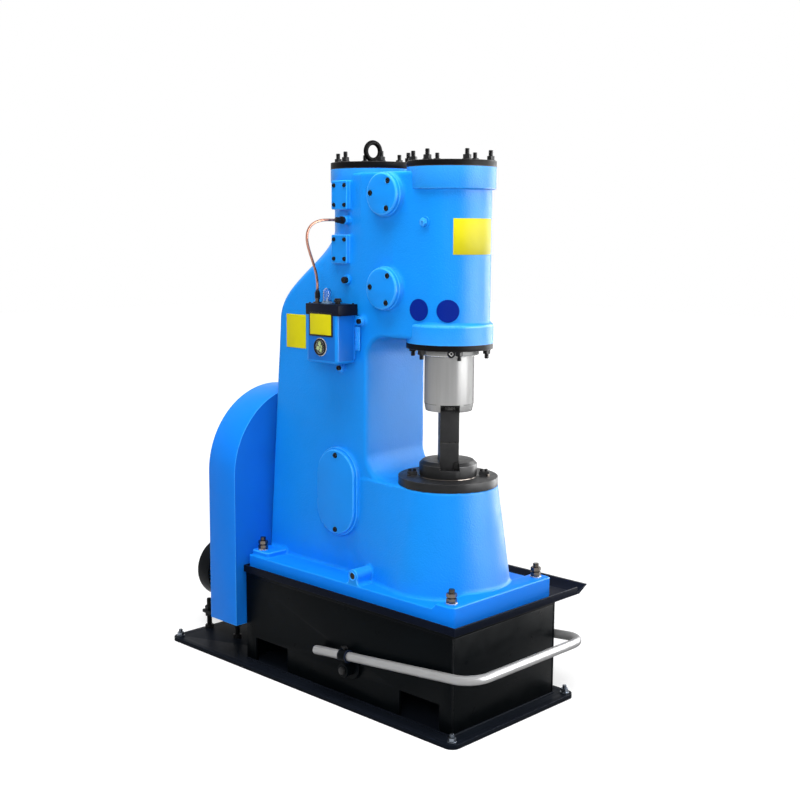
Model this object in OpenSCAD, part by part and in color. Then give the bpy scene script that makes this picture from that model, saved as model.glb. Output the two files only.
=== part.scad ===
// Pneumatic forging hammer with a 25 kg ram, on its fabricated base.
// Millimetres. Origin: centre of the base box on the floor. +X front, -Y near side, +Z up.

/* [Base] */
// Margin of the box in front of the casting's foot
margin_front = 6.5; // [3:0.5:12]
// Margin of the box behind the casting's foot
margin_rear = 12.5; // [6:0.5:16]
// Margin of the box beside the casting's foot
margin_side = 9; // [5:0.5:14]
// Height of the top of the box above the floor
box_top = 271; // [262:1:300]
// Sheet thickness of the box walls
box_wall = 8; // [5:1:12]
// Thickness of the plate that closes the box
box_lid_t = 12; // [8:1:16]
// Thickness of the floor plate
plate_t = 12; // [8:1:20]
// How far the floor plate stands out at the front and the sides
plate_lip = 43; // [36:1:60]
// How far the floor plate stands out at the rear, under the motor
plate_tail = 313; // [300:1:340]
// Corner radius of the floor plate
plate_corner_r = 25; // [5:1:35]
// Edge distance of the anchor holes in the floor plate
anchor_inset = 21; // [16:1:24]
// Diameter of the anchor holes
anchor_hole_d = 14; // [10:1:16]
// Length of a lifting fork slot
fork_len = 137; // [110:1:150]
// Height of a lifting fork slot
fork_height = 70; // [50:1:90]
// Distance from the end of the box to a fork slot
fork_inset = 41; // [30:1:50]

/* [Drip pan] */
// Sheet thickness of the pan
pan_t = 4; // [2:0.5:5]
// Height of the pan's lip
pan_lip = 20; // [12:1:26]
// How far the pan stands out on the near side
pan_near = 8.5; // [6:0.5:14]
// How far the pan stands out at the front
pan_front = 15.5; // [10:0.5:24]
// How far the pan's floor stands out on the far side
pan_far = 79; // [60:1:90]
// How far the far lip leans out
pan_flare = 44; // [30:1:50]

/* [Frame foot] */
// Length of the foot of the casting
foot_len = 770; // [756:1:776]
// Width of the foot
foot_width = 395; // [388:1:404]
// Thickness of the foot at its flanks
foot_t = 43; // [38:1:48]
// Height of the bolting pads above the foot's underside
pad_h = 58; // [54:1:64]
// Length of the front bolting pad
front_pad_len = 57; // [50:1:64]
// Length of a rear bolting pad
rear_pad_len = 72; // [64:1:84]
// Width of a rear bolting pad
rear_pad_w = 78; // [70:1:84]
// Hold-down bolt centre from the foot's front edge
hold_front = 31; // [28:1:36]
// Hold-down bolt centre from the foot's rear edge
hold_rear = 35; // [30:1:40]
// Hold-down bolt centre from the foot's side
hold_side = 29.5; // [26:0.5:34]
// Diameter of the hold-down bolt holes
hold_hole_d = 18; // [16:1:20]

/* [Column] */
// Width of the column
column_w = 230; // [222:1:240]
// How far the column's rear edge stands behind the foot
column_overhang = 1.5; // [0:0.5:4]
// Slope of the rear edge, mm forward for each mm up
column_slope = 0.076; // [0.06:0.002:0.08]
// Front face of the column, in the throat
throat_x = 0; // [-12:1:6]
// Height of the top of the throat
throat_top = 967; // [965:1:975]
// Fillet radius at the top of the throat
throat_fillet = 60; // [30:1:64]
// Fillet radius at the bottom of the throat
seat_fillet = 70; // [30:1:76]
// Height at which the column starts to turn into the rear cylinder
shoulder_low = 985; // [975:1:995]
// Height at which the column has become the rear cylinder
shoulder_high = 1242; // [1230:1:1270]
// Corner radius of the column at its foot
column_corner_r = 15; // [8:1:20]

/* [Cylinders] */
// Axis of the ram and its cylinder
ram_x = 191.3; // [188:0.1:195]
// Radius of the front cylinder's wall
front_r = 103.5; // [100:0.5:106]
// Radius of the collar at the top of the front cylinder
collar_r = 113.6; // [110:0.1:115]
// Height of that upper collar
collar_h = 56; // [40:1:60]
// Radius of the collar at the bottom of the front cylinder
lower_collar_r = 112.5; // [110:0.1:114]
// Top face of the lower collar
lower_collar_top = 1007; // [1000:1:1020]
// Height of the gland face under the lower collar
gland_face = 957; // [955:1:960]
// Height of the front cylinder's top face
front_top = 1401; // [1396:1:1410]
// Axis of the rear compressor cylinder
rear_x = -91; // [-98:0.5:-86]
// Radius of the rear cylinder's wall
rear_r = 102.5; // [98:0.5:106]
// Radius of the rear cylinder's top rim
rear_rim_r = 113.6; // [110:0.1:115]
// Height of the rear cylinder's rim
rear_rim_h = 37; // [20:1:45]
// Height of the rear cylinder's top face
rear_top = 1403; // [1396:1:1410]
// Height of the valve chest between the cylinders
chest_top = 1390; // [1380:1:1395]
// Front edge of the valve chest's flat side
chest_front = 97; // [90:1:106]
// Rear edge of the valve chest's flat side
chest_rear = -19; // [-30:1:-10]
// Thickness of the front cylinder's cap
front_cap_t = 15; // [10:1:20]
// Thickness of the rear cylinder's cap
rear_cap_t = 17; // [12:1:22]
// Radius of the lifting eye's ring, to the middle of its bar
eye_r = 23; // [20:0.5:26]
// Radius of the lifting eye's bar
eye_bar = 6.5; // [5:0.5:8]
// Turn of the lifting eye
eye_turn = -10; // [-30:1:30]

/* [Ram and dies] */
// Radius of the ram
ram_r = 64.3; // [60:0.1:66]
// Running clearance around the ram, on the radius
ram_gap = 0.1; // [0.05:0.01:0.1]
// Length of the ram
ram_len = 450; // [440:1:470]
// Chamfer at the ram's lower edge
ram_chamfer_h = 20; // [5:1:24]
// Depth of that chamfer
ram_chamfer_w = 4; // [1:0.5:6]
// Height of the top die below the ram
top_die_h = 79; // [70:1:90]
// Height of the bottom die above the sow block
bottom_die_h = 52; // [48:1:60]
// Length of the dies
die_len = 100; // [90:1:110]
// Width of the dies
die_w = 50; // [44:1:54]
// Depth of the slots that hold the dies
die_slot = 19; // [14:1:20]
// Width of the wedge key beside each die
key_w = 13; // [9:1:16]
// Clearance of the dies and keys in their slots
key_gap = 0.1; // [0.05:0.05:0.3]
// Angle of the dies' long axis from the front
die_turn = -45; // [-60:1:-30]
// Radius of the gland flange
gland_r = 111.7; // [108:0.1:113]
// Thickness of the gland flange
gland_t = 15; // [12:1:18]
// Radius of the guide ring below the gland
guide_r = 76; // [73:0.5:80]
// Height of the guide ring below the gland
guide_h = 17; // [12:1:20]

/* [Anvil] */
// Height of the anvil seat, the top of the pedestal
seat_z = 586; // [580:1:590]
// Radius of the pedestal at its top
seat_r = 130.6; // [126:0.2:134]
// Radius of the pedestal at its foot
pedestal_foot_r = 168.5; // [160:0.5:172]
// Thickness of the anvil disc
disc_t = 22; // [18:1:26]
// Radius of the anvil disc
disc_r = 130.3; // [126:0.1:134]
// Height of the sow block above the disc
sow_h = 42; // [36:1:50]
// Radius of the sow block
sow_r = 75.5; // [72:0.5:80]
// Gap between the disc and its recess in the casting
disc_gap = 1; // [0.5:0.5:3]
// Chamfer at the sow block's top edge
sow_chamfer = 9; // [4:1:12]
// Half the distance between the disc's clamp lugs
lug_reach = 94; // [90:1:104]

/* [Side fittings] */
// Radius of the valve covers
valve_cover_r = 54; // [50:1:58]
// Radius of the bosses under the valve covers
valve_boss_r = 55.5; // [54:0.5:66]
// How far a valve boss stands out
valve_boss_t = 12; // [6:1:16]
// Thickness of a valve cover
valve_cover_t = 12; // [8:1:14]
// Place of the valve covers along the hammer
valve_x = 77; // [70:1:82]
// Height of the upper valve cover
upper_valve_z = 1333; // [1310:1:1336]
// Height of the lower valve cover
lower_valve_z = 1094.5; // [1080:0.5:1110]
// Width of the port covers
port_w = 59; // [54:1:64]
// Height of the port covers
port_h = 75; // [68:1:80]
// Height of the upper port cover's centre
upper_port_z = 1333; // [1325:1:1340]
// Height of the lower port cover's centre
lower_port_z = 1192; // [1185:1:1200]
// Distance of the port covers' faces from the middle plane
port_face = 126; // [122:1:130]
// Thickness of the port covers
port_t = 9; // [6:1:12]
// Width of the oval inspection cover
hatch_w = 143; // [130:1:150]
// Height of the inspection cover
hatch_h = 232; // [220:1:240]
// Thickness of the inspection cover
hatch_t = 9; // [6:1:12]
// Place of the inspection cover along the hammer
hatch_x = -97; // [-100:1:-92]
// Height of the inspection cover's centre
hatch_z = 538; // [530:1:545]
// How far the boss behind the inspection cover stands out
hatch_boss_t = 12; // [6:1:16]
// Margin of that boss around the cover
hatch_margin = 5; // [3:1:10]
// Radius of the drain boss on the foot
drain_r = 17; // [14:0.5:19]
// Radius of the drain hole
drain_hole_r = 9; // [6:0.5:11]
// Depth of the drain hole
drain_depth = 70; // [40:1:76]
// Place of the drain boss along the hammer
drain_x = 35; // [28:1:42]
// Height of the drain boss above the foot's underside
drain_z = 67; // [62:1:72]

/* [Lubricator] */
// Width of the oil tank
tank_w = 118; // [110:1:124]
// Depth of the oil tank
tank_d = 68; // [62:1:76]
// Height of the oil tank
tank_h = 127; // [118:1:136]
// Centre of the tank along the hammer
tank_x = -87; // [-90:1:-84]
// Height of the tank's underside
tank_z = 894; // [888:1:902]
// Gap between the tank and the column, filled by its bracket
tank_gap = 10; // [8:1:14]
// Height of the tank's lid
tank_lid_h = 29; // [24:1:32]
// Overhang of the lid at the rear and the near side
lid_over = 1.5; // [0:0.5:5]
// Overhang of the lid towards the ram
lid_over_front = 7; // [2:0.5:9]
// Radius of the oil gauge
gauge_r = 23.5; // [18:0.5:26]
// Place of the oil gauge from the tank's centre
gauge_x = -2; // [-12:1:12]
// Height of the oil gauge above the tank's underside
gauge_z = 43; // [34:1:50]
// Radius of the clear dome
dome_r = 11; // [9:0.5:14]
// Height of the dome's straight part
dome_h = 30; // [20:1:36]
// Place of the filler cap from the tank's centre
filler_x = 31; // [24:1:38]
// Outside diameter of the oil pipe
pipe_d = 7; // [5:0.5:8]

/* [Belt guard and motor] */
// Radius of the guard's arch
guard_r = 240; // [236:1:244]
// Height of the arch's centre, the crankshaft axis
crank_z = 548; // [540:1:556]
// Height of the guard's lower edge
guard_bottom = 113; // [108:1:116]
// Width of the guard along the hammer
guard_depth = 119; // [112:1:122]
// Gap between the box and the guard's front face
guard_gap = 5.5; // [3:0.5:8]
// Sheet thickness of the guard
guard_t = 3; // [2:0.5:4]
// Radius of the driven pulley
crank_pulley_r = 190; // [180:1:215]
// Radius of the motor pulley
motor_pulley_r = 46; // [40:1:50]
// Width of both pulleys
pulley_w = 58; // [50:1:64]
// Clearance between the belts and the pulleys
belt_gap = 0.4; // [0.3:0.1:1]
// Thickness of the belts
belt_t = 9; // [6:1:10]
// Radius of the crankshaft bearing housing
bearing_r = 85; // [70:1:90]
// Diameter of the crankshaft
crank_d = 55; // [45:1:60]
// Height of the motor shaft
motor_z = 172; // [170:1:176]
// Radius of the motor's body
motor_r = 96; // [90:0.5:98]
// Length of the motor's body
motor_len = 257; // [240:1:270]
// Gap between the guard and the motor
motor_gap = 9; // [6:1:14]
// Diameter of the motor shaft
motor_shaft_d = 28; // [22:1:32]
// Thickness of the motor plate
motor_plate_t = 10; // [8:1:12]
// Length of the motor plate
motor_plate_len = 166; // [160:1:172]
// Width of the motor plate
motor_plate_w = 266; // [250:1:280]
// Height of the motor plate's top face
motor_plate_z = 72; // [68:1:72]
// Diameter of the jack rods that carry the motor plate
jack_d = 16; // [14:1:18]
// Height of the jack rods' tips
jack_top = 106; // [100:1:110]

/* [Treadle] */
// Outside diameter of the treadle pipe
treadle_d = 24; // [22:1:28]
// Bore of the treadle pipe
treadle_bore = 18; // [14:1:20]
// Distance from the side of the box to the middle of a treadle arm
treadle_side = 22.5; // [22:0.5:36]
// Centre line of the front treadle bar
treadle_front = 484; // [476:1:500]
// Free end of the treadle arms
treadle_end = -69; // [-100:1:-60]
// Bend radius of the treadle
treadle_bend = 60; // [35:1:70]
// Slope of the treadle arms in degrees, up to the front
treadle_slope = 5.6; // [4:0.2:8]
// Place of the treadle's pivot along the hammer
pivot_x = 45; // [36:1:52]
// Height of the treadle's pivot
pivot_z = 98; // [90:1:104]
// Drop from the arm's centre line to the pivot
pivot_drop = 36.5; // [34:0.5:44]
// Diameter of the pivot shaft
pivot_d = 20; // [16:1:22]
// Running clearance of the pivot shaft, on the radius
pivot_gap = 0.1; // [0.05:0.01:0.1]

/* [Hidden] */
$fn = 64;
eps = 0.5;

box_len = foot_len + margin_front + margin_rear;
box_width = foot_width + 2 * margin_side;
half_w = box_width / 2;
half_col = column_w / 2;
treadle_y = half_w + treadle_side;
plate_rear = -box_len / 2 - plate_tail;
plate_front = box_len / 2 + plate_lip;
plate_half_w = half_w + plate_lip;
wall_h = box_top - box_lid_t - plate_t;
fork_x = box_len / 2 - fork_inset - fork_len / 2;
pan_floor = box_top + pan_t;
foot_front = box_len / 2 - margin_front;
foot_rear = foot_front - foot_len;
foot_top = pan_floor + foot_t;
pad_top = pan_floor + pad_h;
hold_x = [foot_front - hold_front, foot_rear + hold_rear];
hold_y = foot_width / 2 - hold_side;
disc_top = seat_z + disc_t;
sow_top = disc_top + sow_h;
die_face = sow_top + bottom_die_h;
blue = "dodgerblue";
black = "#17191c";
steel = "silver";

// Smooth step from 0 to 1
function smooth(t) = t * t * (3 - 2 * t);
function mix(a, b, t) = a + (b - a) * t;
// Points of an arc
function arc(cx, cy, r, a0, a1, n = 12) =
    [for (i = [0:n]) [cx + r * cos(mix(a0, a1, i / n)), cy + r * sin(mix(a0, a1, i / n))]];
// Where the tangent from point p touches a circle at [cx, 0]; side is 1 or -1
function touch(p, cx, r, side) =
    let (dx = p[0] - cx, d = norm([dx, p[1]]), a = atan2(p[1], dx) + side * acos(r / d))
    [cx + r * cos(a), r * sin(a)];

module box_at(x0, x1, y0, y1, z0, z1) {
    translate([x0, y0, z0]) cube([x1 - x0, y1 - y0, z1 - z0]);
}

// Flat shape in the XZ plane, given thickness from y0 to y1
module slab_xz(y0, y1) {
    translate([0, y1, 0]) rotate([90, 0, 0]) linear_extrude(y1 - y0) children();
}

// Flat shape in the YZ plane, given thickness from x0 to x1
module slab_yz(x0, x1) {
    translate([x0, 0, 0]) rotate([90, 0, 90]) linear_extrude(x1 - x0) children();
}

// Rounded rectangle between two corners
module round_rect(x0, x1, y0, y1, r) {
    union() {
        translate([x0 + r, y0]) square([x1 - x0 - 2 * r, y1 - y0]);
        translate([x0, y0 + r]) square([x1 - x0, y1 - y0 - 2 * r]);
        for (x = [x0 + r, x1 - r], y = [y0 + r, y1 - r]) translate([x, y]) circle(r);
    }
}

// ---- Base ----

module base_plate() {
    color(black) difference() {
        linear_extrude(plate_t)
            round_rect(plate_rear, plate_front, -plate_half_w, plate_half_w, plate_corner_r);
        for (x = [plate_rear + anchor_inset, plate_front - anchor_inset], side = [-1, 1])
            translate([x, side * (plate_half_w - anchor_inset), -eps])
                cylinder(d = anchor_hole_d, h = plate_t + 2 * eps);
    }
}

// Long wall of the box, with two fork slots and the hole of the treadle shaft's bearing
module base_side_wall(side) {
    y_mid = side * (half_w - box_wall / 2);
    color(black) difference() {
        box_at(-box_len / 2, box_len / 2, y_mid - box_wall / 2, y_mid + box_wall / 2,
            plate_t, plate_t + wall_h);
        for (x = [-fork_x, fork_x])
            box_at(x - fork_len / 2, x + fork_len / 2, y_mid - box_wall, y_mid + box_wall,
                plate_t - eps, plate_t + fork_height);
        translate([pivot_x, y_mid + box_wall, pivot_z]) rotate([90, 0, 0])
            cylinder(d = bearing_spigot_d, h = 2 * box_wall);
    }
}

module base_wall_near() { base_side_wall(-1); }
module base_wall_far() { base_side_wall(1); }

module base_end_wall(end) {
    x_mid = end * (box_len / 2 - box_wall / 2);
    color(black) box_at(x_mid - box_wall / 2, x_mid + box_wall / 2,
        -half_w + box_wall, half_w - box_wall, plate_t, plate_t + wall_h);
}

module base_wall_front() { base_end_wall(1); }
module base_wall_rear() { base_end_wall(-1); }

module base_lid() {
    color(black) difference() {
        box_at(-box_len / 2, box_len / 2, -half_w, half_w, box_top - box_lid_t, box_top);
        hold_holes(box_top - box_lid_t, box_top);
    }
}

// Holes for the four hold-down bolts, through everything from z0 to z1
module hold_holes(z0, z1) {
    for (x = hold_x, side = [-1, 1]) translate([x, side * hold_y, z0 - eps])
        cylinder(d = hold_hole_d, h = z1 - z0 + 2 * eps);
}

// Folded sheet with an upright lip on three sides and a leaning lip on the far side
module drip_pan() {
    y_near = -half_w - pan_near;
    y_far = half_w + pan_far;
    x_rear = -box_len / 2;
    x_front = box_len / 2 + pan_front;
    lip_top = box_top + pan_lip;
    lean = pan_t * pan_flare / pan_lip;
    color(black) difference() {
        union() {
            box_at(x_rear, x_front, y_near, y_far, box_top, pan_floor);
            box_at(x_rear, x_front, y_near, y_near + pan_t, box_top, lip_top);
            box_at(x_front - pan_t, x_front, y_near, y_far, box_top, lip_top);
            box_at(x_rear, x_rear + pan_t, y_near, y_far, box_top, lip_top);
            slab_yz(x_rear, x_front) polygon([[y_far, box_top], [y_far, pan_floor],
                [y_far + pan_flare - lean, lip_top], [y_far + pan_flare, lip_top],
                [y_far + lean, box_top]]);
        }
        hold_holes(box_top, pan_floor);
    }
}

// ---- Frame casting ----

column_front_top = throat_top - throat_fillet;

// Rear edge of the column's straight part at height z
function column_back(z) = foot_rear - column_overhang + column_slope * (z - pad_top);

// Side outline of the column's front part, with the fillets of the throat
module column_outline() {
    polygon(concat(
        [[chest_rear, shoulder_low], [chest_rear, pan_floor],
            [throat_x + seat_fillet, pan_floor]],
        arc(throat_x + seat_fillet, seat_z + seat_fillet, seat_fillet, 270, 180),
        arc(throat_x + throat_fillet, column_front_top, throat_fillet, 180, 90),
        [[throat_x + throat_fillet, shoulder_low]]));
}

// One level of the column's rear part: rounded rear corners with radius r at [x0, w]
module column_slice(z, x0, w, r) {
    translate([0, 0, z]) {
        for (side = [-1, 1]) translate([x0 + r, side * (w - r), 0])
            cylinder(r = r, h = eps, $fn = 48);
        translate([chest_rear, -half_col, 0]) cube([2, column_w, eps]);
    }
}

// Rear part of the column, tapering up to the shoulder
module column_rear_part() {
    hull() {
        column_slice(pan_floor, column_back(pan_floor), half_col, column_corner_r);
        shoulder_slice(0);
    }
}

// One level of the shoulder, where t = 0 is the column and t = 1 the rear cylinder
module shoulder_slice(t) {
    s = smooth(pow(t, 1.2));
    column_slice(mix(shoulder_low, shoulder_high, t),
        mix(column_back(shoulder_low), rear_x - rear_r, s),
        mix(half_col, rear_r, s), mix(column_corner_r, rear_r, s));
}

module shoulder() {
    steps = 5;
    for (i = [0:steps - 1]) hull() {
        shoulder_slice(i / steps);
        shoulder_slice((i + 1) / steps);
    }
}

// Plan of the two cylinders with the valve chest between them
module chest_plan() {
    rear_touch = touch([chest_rear, half_col], rear_x, rear_r, 1);
    front_touch = touch([chest_front, half_col], ram_x, front_r, -1);
    half = [rear_touch, [chest_rear, half_col], [chest_front, half_col], front_touch];
    polygon(concat(half, [for (i = [3:-1:0]) [half[i][0], -half[i][1]]]));
}

module cylinders() {
    translate([0, 0, throat_top]) linear_extrude(chest_top - throat_top) intersection() {
        chest_plan();
        translate([chest_rear, -half_col]) square([ram_x - chest_rear, column_w]);
    }
    translate([0, 0, shoulder_high]) linear_extrude(chest_top - shoulder_high) chest_plan();
    translate([rear_x, 0, shoulder_high]) cylinder(r = rear_r, h = rear_top - shoulder_high);
    translate([rear_x, 0, rear_top - rear_rim_h]) cylinder(r = rear_rim_r, h = rear_rim_h);
    translate([ram_x, 0, gland_face]) cylinder(r = front_r, h = front_top - gland_face);
    translate([ram_x, 0, front_top - collar_h]) cylinder(r = collar_r, h = collar_h);
    translate([ram_x, 0, gland_face])
        cylinder(r = lower_collar_r, h = lower_collar_top - gland_face);
}

// Conical pedestal under the anvil, drawn out to the column's foot
module pedestal() {
    hull() {
        translate([ram_x, 0, foot_top])
            cylinder(r1 = pedestal_foot_r, r2 = seat_r, h = seat_z - foot_top, $fn = 72);
        box_at(throat_x - 62, throat_x - 60, -half_col, half_col, foot_top, seat_z);
    }
}

module foot() {
    front_pad = foot_front - front_pad_len;
    translate([0, 0, pan_floor]) linear_extrude(foot_t)
        round_rect(foot_rear, foot_front, -foot_width / 2, foot_width / 2, column_corner_r);
    intersection() {
        translate([0, 0, pan_floor]) linear_extrude(pad_h)
            round_rect(foot_rear, foot_front, -foot_width / 2, foot_width / 2, column_corner_r);
        slab_xz(-foot_width / 2, foot_width / 2) polygon([
            [front_pad - (pad_h - foot_t), foot_top], [front_pad, pad_top],
            [foot_front, pad_top], [foot_front, pan_floor],
            [front_pad - (pad_h - foot_t), pan_floor]]);
    }
    for (side = [-1, 1]) {
        y_out = side * (foot_width / 2 - 8);
        y_in = side * (foot_width / 2 - 8 - rear_pad_w);
        box_at(foot_rear + 8, foot_rear + 8 + rear_pad_len, min(y_in, y_out), max(y_in, y_out),
            pan_floor, pad_top);
    }
}

// Bearing housing that carries the crankshaft behind the column
module crank_bearing() {
    x0 = column_back(crank_z);
    translate([x0 - eps, 0, crank_z]) rotate([0, 90, 0]) translate([0, 0, -(x0 - guard_front_x) + eps])
        cylinder(r = bearing_r, h = x0 - guard_front_x + 40);
}

module side_bosses() {
    for (z = [upper_valve_z, lower_valve_z]) disc_y(valve_x, z, valve_boss_r, half_col - 4,
        half_col + valve_boss_t);
    for (z = [upper_port_z, lower_port_z])
        box_at(rear_x - port_w / 2, rear_x + port_w / 2, -(port_face - port_t), -rear_r / 2,
            z - port_h / 2, z + port_h / 2);
    slab_xz(-half_col - hatch_boss_t, -half_col + 4)
        stadium(hatch_x, hatch_z, hatch_w + 2 * hatch_margin, hatch_h + 2 * hatch_margin);
    for (p = lubricator_studs) disc_y(p[0], p[1], lug_r + 2, half_col - 4, -tank_back - bracket_t);
    disc_y(inlet_x, inlet_z, 12, rear_r - 10, inlet_seat);
}

// Round boss on the near side, from y = -a to y = -b
module disc_y(x, z, r, a, b) {
    translate([x, -a, z]) rotate([90, 0, 0]) cylinder(r = r, h = b - a);
}

// Upright slot shape
module stadium(x, z, w, h) {
    translate([x - w / 2, z - h / 2 + w / 2]) square([w, h - w]);
    for (side = [-1, 1]) translate([x, z + side * (h - w) / 2]) circle(w / 2);
}

module drain_boss() {
    z = pan_floor + drain_z;
    disc_y(drain_x, z, drain_r, half_col - 10, foot_width / 2);
    box_at(drain_x - drain_r, drain_x + drain_r, -foot_width / 2, -half_col + 10, foot_top - 1, z);
}

module frame_casting() {
    color(blue) difference() {
        union() {
            foot();
            slab_xz(-half_col, half_col) column_outline();
            column_rear_part();
            shoulder();
            cylinders();
            pedestal();
            crank_bearing();
            side_bosses();
            drain_boss();
        }
        translate([ram_x, 0, gland_face - eps])
            cylinder(r = ram_r + ram_gap, h = front_top - gland_face + 2 * eps);
        translate([ram_x, 0, seat_z]) cylinder(r = disc_r + disc_gap, h = disc_t);
        hold_holes(pan_floor, pad_top);
        translate([drain_x, -foot_width / 2 - eps, pan_floor + drain_z]) rotate([-90, 0, 0])
            cylinder(r = drain_hole_r, h = drain_depth + eps);
    }
}

// ---- Cylinder caps, gland and ram ----

module front_cylinder_cap() {
    color(black) translate([ram_x, 0, front_top]) cylinder(r = collar_r, h = front_cap_t);
}

module rear_cylinder_cap() {
    color(black) translate([rear_x, 0, rear_top]) cylinder(r = rear_rim_r, h = rear_cap_t);
}

module lifting_eye() {
    color(black) translate([rear_x, 0, rear_top + rear_cap_t]) rotate([0, 0, eye_turn]) union() {
        cylinder(r = 15, h = 4);
        cylinder(r = 10, h = 9);
        translate([0, 0, 2 + eye_r + eye_bar]) rotate([0, 90, 0]) rotate_extrude()
            translate([eye_r, 0]) circle(eye_bar);
    }
}

module gland_flange() {
    color(black) translate([ram_x, 0, gland_face - gland_t]) difference() {
        cylinder(r = gland_r, h = gland_t);
        translate([0, 0, -eps]) cylinder(r = ram_r + ram_gap, h = gland_t + 2 * eps);
    }
}

module guide_ring() {
    color(steel) translate([ram_x, 0, gland_face - gland_t - guide_h]) difference() {
        cylinder(r = guide_r, h = guide_h);
        translate([0, 0, -eps]) cylinder(r = ram_r + ram_gap, h = guide_h + 2 * eps);
    }
}

ram_low = die_face + top_die_h;

// Children in the frame of the dies: X along the dies, Y across them
module at_dies(z) {
    translate([ram_x, 0, z]) rotate([0, 0, die_turn]) children();
}

module ram() {
    color(steel) difference() {
        union() {
            translate([ram_x, 0, ram_low])
                cylinder(r1 = ram_r - ram_chamfer_w, r2 = ram_r, h = ram_chamfer_h);
            translate([ram_x, 0, ram_low + ram_chamfer_h])
                cylinder(r = ram_r, h = ram_len - ram_chamfer_h);
        }
        at_dies(ram_low - eps) translate([-ram_r - 2, -die_w / 2, 0])
            cube([2 * ram_r + 4, die_w, die_slot + eps]);
    }
}

tongue_w = die_w - key_w - 2 * key_gap;

// A die: its block, and the tongue that lies in the slot beside the key
module die(z0, z1, tongue_z, tongue_end) {
    at_dies(0) {
        translate([-die_len / 2, -die_w / 2, z0]) cube([die_len, die_w, z1 - z0]);
        translate([-die_len / 2, -die_w / 2, tongue_z])
            cube([die_len, tongue_w, tongue_end - tongue_z]);
    }
}

module top_die() { color(black) die(die_face, ram_low, ram_low - eps, ram_low + die_slot); }
module bottom_die() { color(black) die(sow_top, die_face, sow_top - die_slot, sow_top + eps); }

module die_key(z) {
    at_dies(z) translate([-die_len / 2 - 6, die_w / 2 - key_w - key_gap, 0])
        cube([die_len + 14, key_w, die_slot]);
}

module top_die_key() { color("dimgray") die_key(ram_low); }
module bottom_die_key() { color("dimgray") die_key(sow_top - die_slot); }

module anvil_disc() {
    color(black) {
        translate([ram_x, 0, seat_z]) cylinder(r = disc_r, h = disc_t);
        for (side = [-1, 1]) translate([ram_x, 0, disc_top]) rotate([0, 0, 45])
            translate([side * lug_reach - 13, -9, -eps]) cube([26, 18, 10 + eps]);
    }
}

module sow_block() {
    color(black) difference() {
        translate([ram_x, 0, 0]) union() {
            translate([0, 0, disc_top]) cylinder(r = sow_r, h = sow_h - sow_chamfer);
            translate([0, 0, sow_top - sow_chamfer])
                cylinder(r1 = sow_r, r2 = sow_r - sow_chamfer, h = sow_chamfer);
        }
        at_dies(sow_top - die_slot) translate([-sow_r - 2, -die_w / 2, 0])
            cube([2 * sow_r + 4, die_w, die_slot + eps]);
    }
}

// ---- Covers on the near side ----

module valve_covers() {
    color(blue) for (z = [upper_valve_z, lower_valve_z])
        disc_y(valve_x, z, valve_cover_r, half_col + valve_boss_t,
            half_col + valve_boss_t + valve_cover_t);
}

module port_covers() {
    color(blue) for (z = [upper_port_z, lower_port_z])
        box_at(rear_x - port_w / 2, rear_x + port_w / 2, -port_face, -(port_face - port_t),
            z - port_h / 2, z + port_h / 2);
}

module inspection_cover() {
    color(blue) slab_xz(-half_col - hatch_boss_t - hatch_t, -half_col - hatch_boss_t)
        stadium(hatch_x, hatch_z, hatch_w, hatch_h);
}

// ---- Lubricator and its pipe ----

tank_back = -half_col - tank_gap;
tank_face = tank_back - tank_d;
tank_top = tank_z + tank_h;
lid_top = tank_top + tank_lid_h;
// The tank's two bolts, through its side lug and the lug below it
lubricator_studs = [[tank_x + 77, 1006], [tank_x + 1, 877]];
lug_r = 12;
bracket_t = 4;
stud_d = 10;
// Inlet fitting in the cylinder, on its boss
inlet_x = -76;
inlet_z = 1268;
inlet_seat = 124;
inlet_len = 30;
inlet_r = 9;
// Outlet fitting on the lid
outlet_x = tank_x - 48;
outlet_y = tank_back - 38;
outlet_r = 8;
outlet_h = 34;
dome_x = tank_x - 10;

module lubricator_bracket() {
    p = lubricator_studs;
    color(blue) difference() {
        slab_xz(tank_back, tank_back + bracket_t) union() {
            translate([tank_x - tank_w / 2 + 20, tank_z + 10]) square([tank_w - 24, tank_h - 24]);
            translate([tank_x, p[0][1] - lug_r]) square([p[0][0] - tank_x, 2 * lug_r]);
            translate([p[1][0] - lug_r, p[1][1]]) square([2 * lug_r, tank_h / 2]);
            for (q = p) translate(q) circle(lug_r);
        }
        for (q = p) translate([q[0], 0, q[1]]) rotate([90, 0, 0]) cylinder(d = stud_d, h = 200);
    }
}

module lubricator_tank() {
    color(blue) box_at(tank_x - tank_w / 2, tank_x + tank_w / 2, tank_face, tank_back,
        tank_z, tank_top);
}

module lubricator_lid() {
    color(black) box_at(tank_x - tank_w / 2 - lid_over, tank_x + tank_w / 2 + lid_over_front,
        tank_face - lid_over, tank_back, tank_top, lid_top);
}

module lubricator_dome() {
    color("lightsteelblue") translate([dome_x, outlet_y, lid_top]) union() {
        cylinder(r = dome_r + 2, h = 5);
        cylinder(r = dome_r, h = dome_h);
        translate([0, 0, dome_h]) sphere(dome_r);
    }
}

module lubricator_filler_cap() {
    color(black) translate([tank_x + filler_x, outlet_y, lid_top]) union() {
        cylinder(r = 9, h = 15);
        translate([0, 0, 5]) cylinder(r = 12, h = 6);
    }
}

module lubricator_sight_glass() {
    color("lightgray") disc_y(tank_x + gauge_x, tank_z + gauge_z, gauge_r, -tank_face,
        -tank_face + 5);
}

module oil_fittings() {
    color(black) {
        disc_y(inlet_x, inlet_z, inlet_r, inlet_seat, inlet_seat + inlet_len);
        translate([outlet_x, outlet_y, lid_top]) union() {
            cylinder(r = outlet_r + 5, h = 5);
            cylinder(r = outlet_r, h = outlet_h);
        }
    }
}

// Gap between the pipe's ends and the fittings
pipe_gap = 0.3;
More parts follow.
